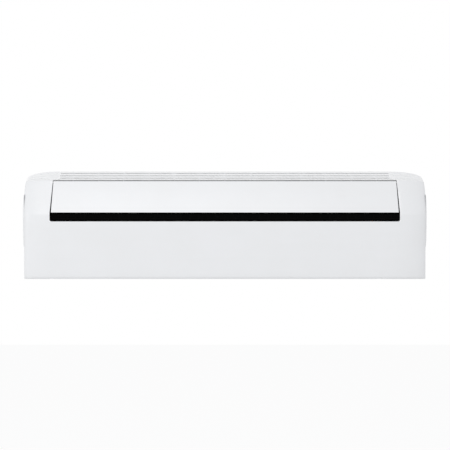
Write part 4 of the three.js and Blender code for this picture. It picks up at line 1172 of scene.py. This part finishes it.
# Fan motor in its clamp, and the bearing at the other end
def makeMotor():
    x0, x1, radius = 436, 505, 41
    can = lengthways(fanAxis, x0, x1, radius, 96, 2.5)
    grooves = [cut(lengthways(fanAxis, x, x + 1.2, radius + 1, 96),
                   [lengthways(fanAxis, x - 1, x + 3, radius - 0.9, 96)])
               for x in (451, 497)]
    can = cut(can, grooves)
    can = cut(can, [lengthways(fanAxis, x0 - 1, x0 + 12, 4.3)])
    pieces = [can, lengthways(fanAxis, x1 - 1, x1 + 5, 14, 48, 1)]
    for k in range(8):
        a = math.radians(45 * k + 20)
        place = (fanAxis[0] + 28 * math.cos(a), fanAxis[1] + 28 * math.sin(a))
        pieces.append(lengthways(place, x1 - 0.5, x1 + 0.8, 3.4, 24, 0.3))
    hang(smooth(join("motorCan", pieces), 35), "unit", "motorCan", "fan_motor")
    band = cut(lengthways(fanAxis, 462, 492, 43.8, 96, 0.4), [lengthways(fanAxis, 460, 494, 41.3, 96)])
    beads = [cut(lengthways(fanAxis, x, x + 1.6, 44.3, 96, 0.5),
                 [lengthways(fanAxis, x - 1, x + 3, 43.0, 96)]) for x in (466, 486.4)]
    foot = cut(block(462, 492, 16.3, 79, -47, -37, 0.8), [lengthways(fanAxis, 460, 494, 41.4, 96)])
    hang(smooth(join("motorBand", [band, foot] + beads), 35), "unit", "zinc", "motor_clamp")
    depth, z = fanAxis
    flange = prism(rounded([(depth - 32, z, 0), (depth - 32, z - 14, 3), (depth + 32, z - 14, 3),
                            (depth + 32, z + 14, 3),
                            (depth - 32, z + 14, 3), (depth - 32, z, 0)], 4)[:-1], -483.3, -478.3)
    holder = [cut(piece, [lengthways(fanAxis, -490, -460, 12.3, 48)])
              for piece in (flange, lengthways(fanAxis, -483.3, -470, 17, 64, 0.5))]
    hang(smooth(join("bearingCup", holder), 35), "unit", "grey", "bearing_holder")
    seat = cut(lengthways(fanAxis, -480, -470, 12, 48, 0.6), [lengthways(fanAxis, -482, -468, 4.3, 32)])
    hang(smooth(named(seat, "bearingSeat"), 35), "unit", "rubber", "fan_bearing")


# Electrics at the right end
electrics = {"x": (437, 532), "d": (160, 202), "z": (-40, 58), "wall": 2.4,
             "posts": ((445, 50), (524, -32))}


def makeControlBox():
    (x0, x1), (d0, d1), (z0, z1), wall = (electrics[key] for key in ("x", "d", "z", "wall"))
    posts = electrics["posts"]
    shell = cut(block(x0, x1, d0, d1, z0, z1, 2, 4),
                [block(x0 + wall, x1 - wall, d0 + wall, d1 + 5, z0 + wall, z1 - wall, 1.2, 3)])
    shell = cut(shell, [rod((x0 - 2, d0 + 18, z0 + 24), (x0 + wall + 2, d0 + 18, z0 + 24), 6)])
    pieces = [shell] + [block(x, x + 6, 16.3, d0 + 1, z1 - 14, z1 - 8, 0.8) for x in (x0 + 23, x1 - 14)]
    for x, z in posts:
        pieces.append(cut(rod((x, d0 + 1, z), (x, d1, z), 4, 32, 0.3),
                          [rod((x, d1 - 12, z), (x, d1 + 1, z), 1.7, 24)]))
    hang(smooth(join("controlCase", pieces), 35), "unit", "grey", "control_box")
    lid = block(x0, x1, d1 + 0.3, d1 + 2.3, z0, z1, 0.6, 3)
    raised = block(x0 + 6, x1 - 6, d1 + 1.2, d1 + 2.25, z0 + 24, z1 - 30, 0.3, 2)
    holes = [rod((x, d1 - 1, z), (x, d1 + 4, z), 1.9, 24)
             for x, z in posts] + [rod((457, d1 - 1, 38), (457, d1 + 4, 38), 4.3, 32)]
    lip = cut(block(x0 + 2.9, x1 - 2.9, d1 - 4.7, d1 + 1, z0 + 2.9, z1 - 2.9, 0.8), [
        block(x0 + 5.3, x1 - 5.3, d1 - 6, d1 + 2, z0 + 5.3, z1 - 5.3),
        *(rod((x, d1 - 8, z), (x, d1 + 0.3, z), 4.6) for x, z in posts)])
    hang(smooth(join("controlLid", [cut(lid, holes), raised, lip]), 35), "unit", "grey",
         "control_box_cover")
    for k, (x, z) in enumerate(posts, 1):
        head = rod((x, d1 + 2.6, z), (x, d1 + 4.4, z), 3.5, 40, 0.5)
        cross = [block(x - 2.2, x + 2.2, d1 + 3.6, d1 + 6, z - 0.45, z + 0.45),
                 block(x - 0.45, x + 0.45, d1 + 3.6, d1 + 6, z - 2.2, z + 2.2)]
        screw = join(f"coverScrew{k}", [cut(head, cross), rod((x, d1 - 8, z), (x, d1 + 2.8, z), 1.4, 24)])
        hang(smooth(screw, 35), "unit", "zinc", f"cover_screw_{k}")
    for k, x in enumerate(chassisLook["screwXs"], 1):
        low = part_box(f"casing_screw_{k}")[0][2] / mm
        head = rod((x, 75, low), (x, 75, low + 1.2), 4.2, 40, 0.35)
        cross = [block(x - 2.4, x + 2.4, 74.5, 75.5, low - 1, low + 0.7),
                 block(x - 0.5, x + 0.5, 72.6, 77.4, low - 1, low + 0.7)]
        screw = join(f"casingScrew{k}",
                     [cut(head, cross), rod((x, 75, low + 1), (x, 75, low + 12), 1.5, 24)])
        hang(smooth(screw, 35), "unit", "zinc", f"casing_screw_{k}")


makeChassis()
makeDrain()
print("chassis and drain made")
makeMotor()
makeControlBox()
print("motor and electrics made")
# CAD pieces that keep their shape and take a finish
cadFinish = {
    "motorCan": ["vane_motor", "capacitor"],
    "dark": ["pipe_clamp", "vane_bush", "terminal_block"],
    "copper": ["coil_sensor"],
    "board": ["control_board", "display_board"],
    "white": ["run_button"],
}
for look, nodes in cadFinish.items():
    for node in nodes:
        dress(bpy.data.objects[node], look)
print("CAD pieces dressed")


# Floor, light and world
def seenStraight(nodes, links):  # 1 for a camera, glossy or transmission ray
    path = nodes.new("ShaderNodeLightPath")
    seen = path.outputs["Is Camera Ray"]
    for other in ("Is Glossy Ray", "Is Transmission Ray"):
        most = nodes.new("ShaderNodeMath")
        most.operation = "MAXIMUM"
        links.new(seen, most.inputs[0])
        links.new(path.outputs[other], most.inputs[1])
        seen = most.outputs[0]
    return seen


def mixed(nodes, links, factor, first, second):
    mix = nodes.new("ShaderNodeMixShader")
    links.new(factor, mix.inputs[0])
    links.new(first, mix.inputs[1])
    links.new(second, mix.inputs[2])
    return mix.outputs[0]


def makeFloor():
    deselect()
    bpy.ops.mesh.primitive_plane_add(size=30, location=(0, 0, -0.75))
    floor = named(bpy.context.object, "studioFloor")
    material = bpy.data.materials.new("studioFloor")
    floor.data.materials.append(material)
    material.use_nodes = True
    nodes, links = material.node_tree.nodes, material.node_tree.links
    nodes.clear()
    paper = nodes.new("ShaderNodeBsdfDiffuse")
    paper.inputs["Color"].default_value = (0.86, 0.86, 0.86, 1)
    glow = nodes.new("ShaderNodeEmission")
    glow.inputs["Strength"].default_value = 1.04
    share = nodes.new("ShaderNodeMath")  # the rest is the paper, which takes the shadow
    share.operation = "MULTIPLY"
    share.inputs[1].default_value = 0.8
    links.new(seenStraight(nodes, links), share.inputs[0])
    top = mixed(nodes, links, share.outputs[0], paper.outputs[0], glow.outputs[0])
    under = nodes.new("ShaderNodeBsdfTransparent")
    sideSeen = nodes.new("ShaderNodeNewGeometry").outputs["Backfacing"]
    whole = mixed(nodes, links, sideSeen, top, under.outputs[0])
    links.new(whole, nodes.new("ShaderNodeOutputMaterial").inputs["Surface"])


def makeWorld():
    world = bpy.data.worlds.new("studio")
    bpy.context.scene.world = world
    world.use_nodes = True
    nodes, links = world.node_tree.nodes, world.node_tree.links
    nodes.clear()
    soft = nodes.new("ShaderNodeBackground")
    soft.inputs["Color"].default_value = (0.985, 0.99, 1.0, 1)
    soft.inputs["Strength"].default_value = 0.79
    white = nodes.new("ShaderNodeBackground")
    white.inputs["Color"].default_value = (1, 1, 1, 1)
    whole = mixed(nodes, links, seenStraight(nodes, links), soft.outputs[0], white.outputs[0])
    links.new(whole, nodes.new("ShaderNodeOutputWorld").inputs["Surface"])


def makeLamp(name, place, target, size, power):
    data = bpy.data.lights.new(name, "AREA")
    data.shape = "RECTANGLE"
    data.size, data.size_y = size
    data.energy = power
    lamp = bpy.data.objects.new(name, data)
    bpy.context.collection.objects.link(lamp)
    lamp.location = place
    lamp.rotation_euler = (Vector(target) - Vector(place)).to_track_quat("-Z", "Y").to_euler()


makeFloor()
makeWorld()
makeLamp("softTop", (-0.7, -3.3, 1.7), (0, -0.15, 0), (3.2, 1.8), 28)
makeLamp("leftFill", (-3.4, -1.4, 0.5), (-0.4, -0.15, 0), (1.6, 1.2), 7)
print("lights made")

bpy.context.scene.view_settings.view_transform = "Standard"
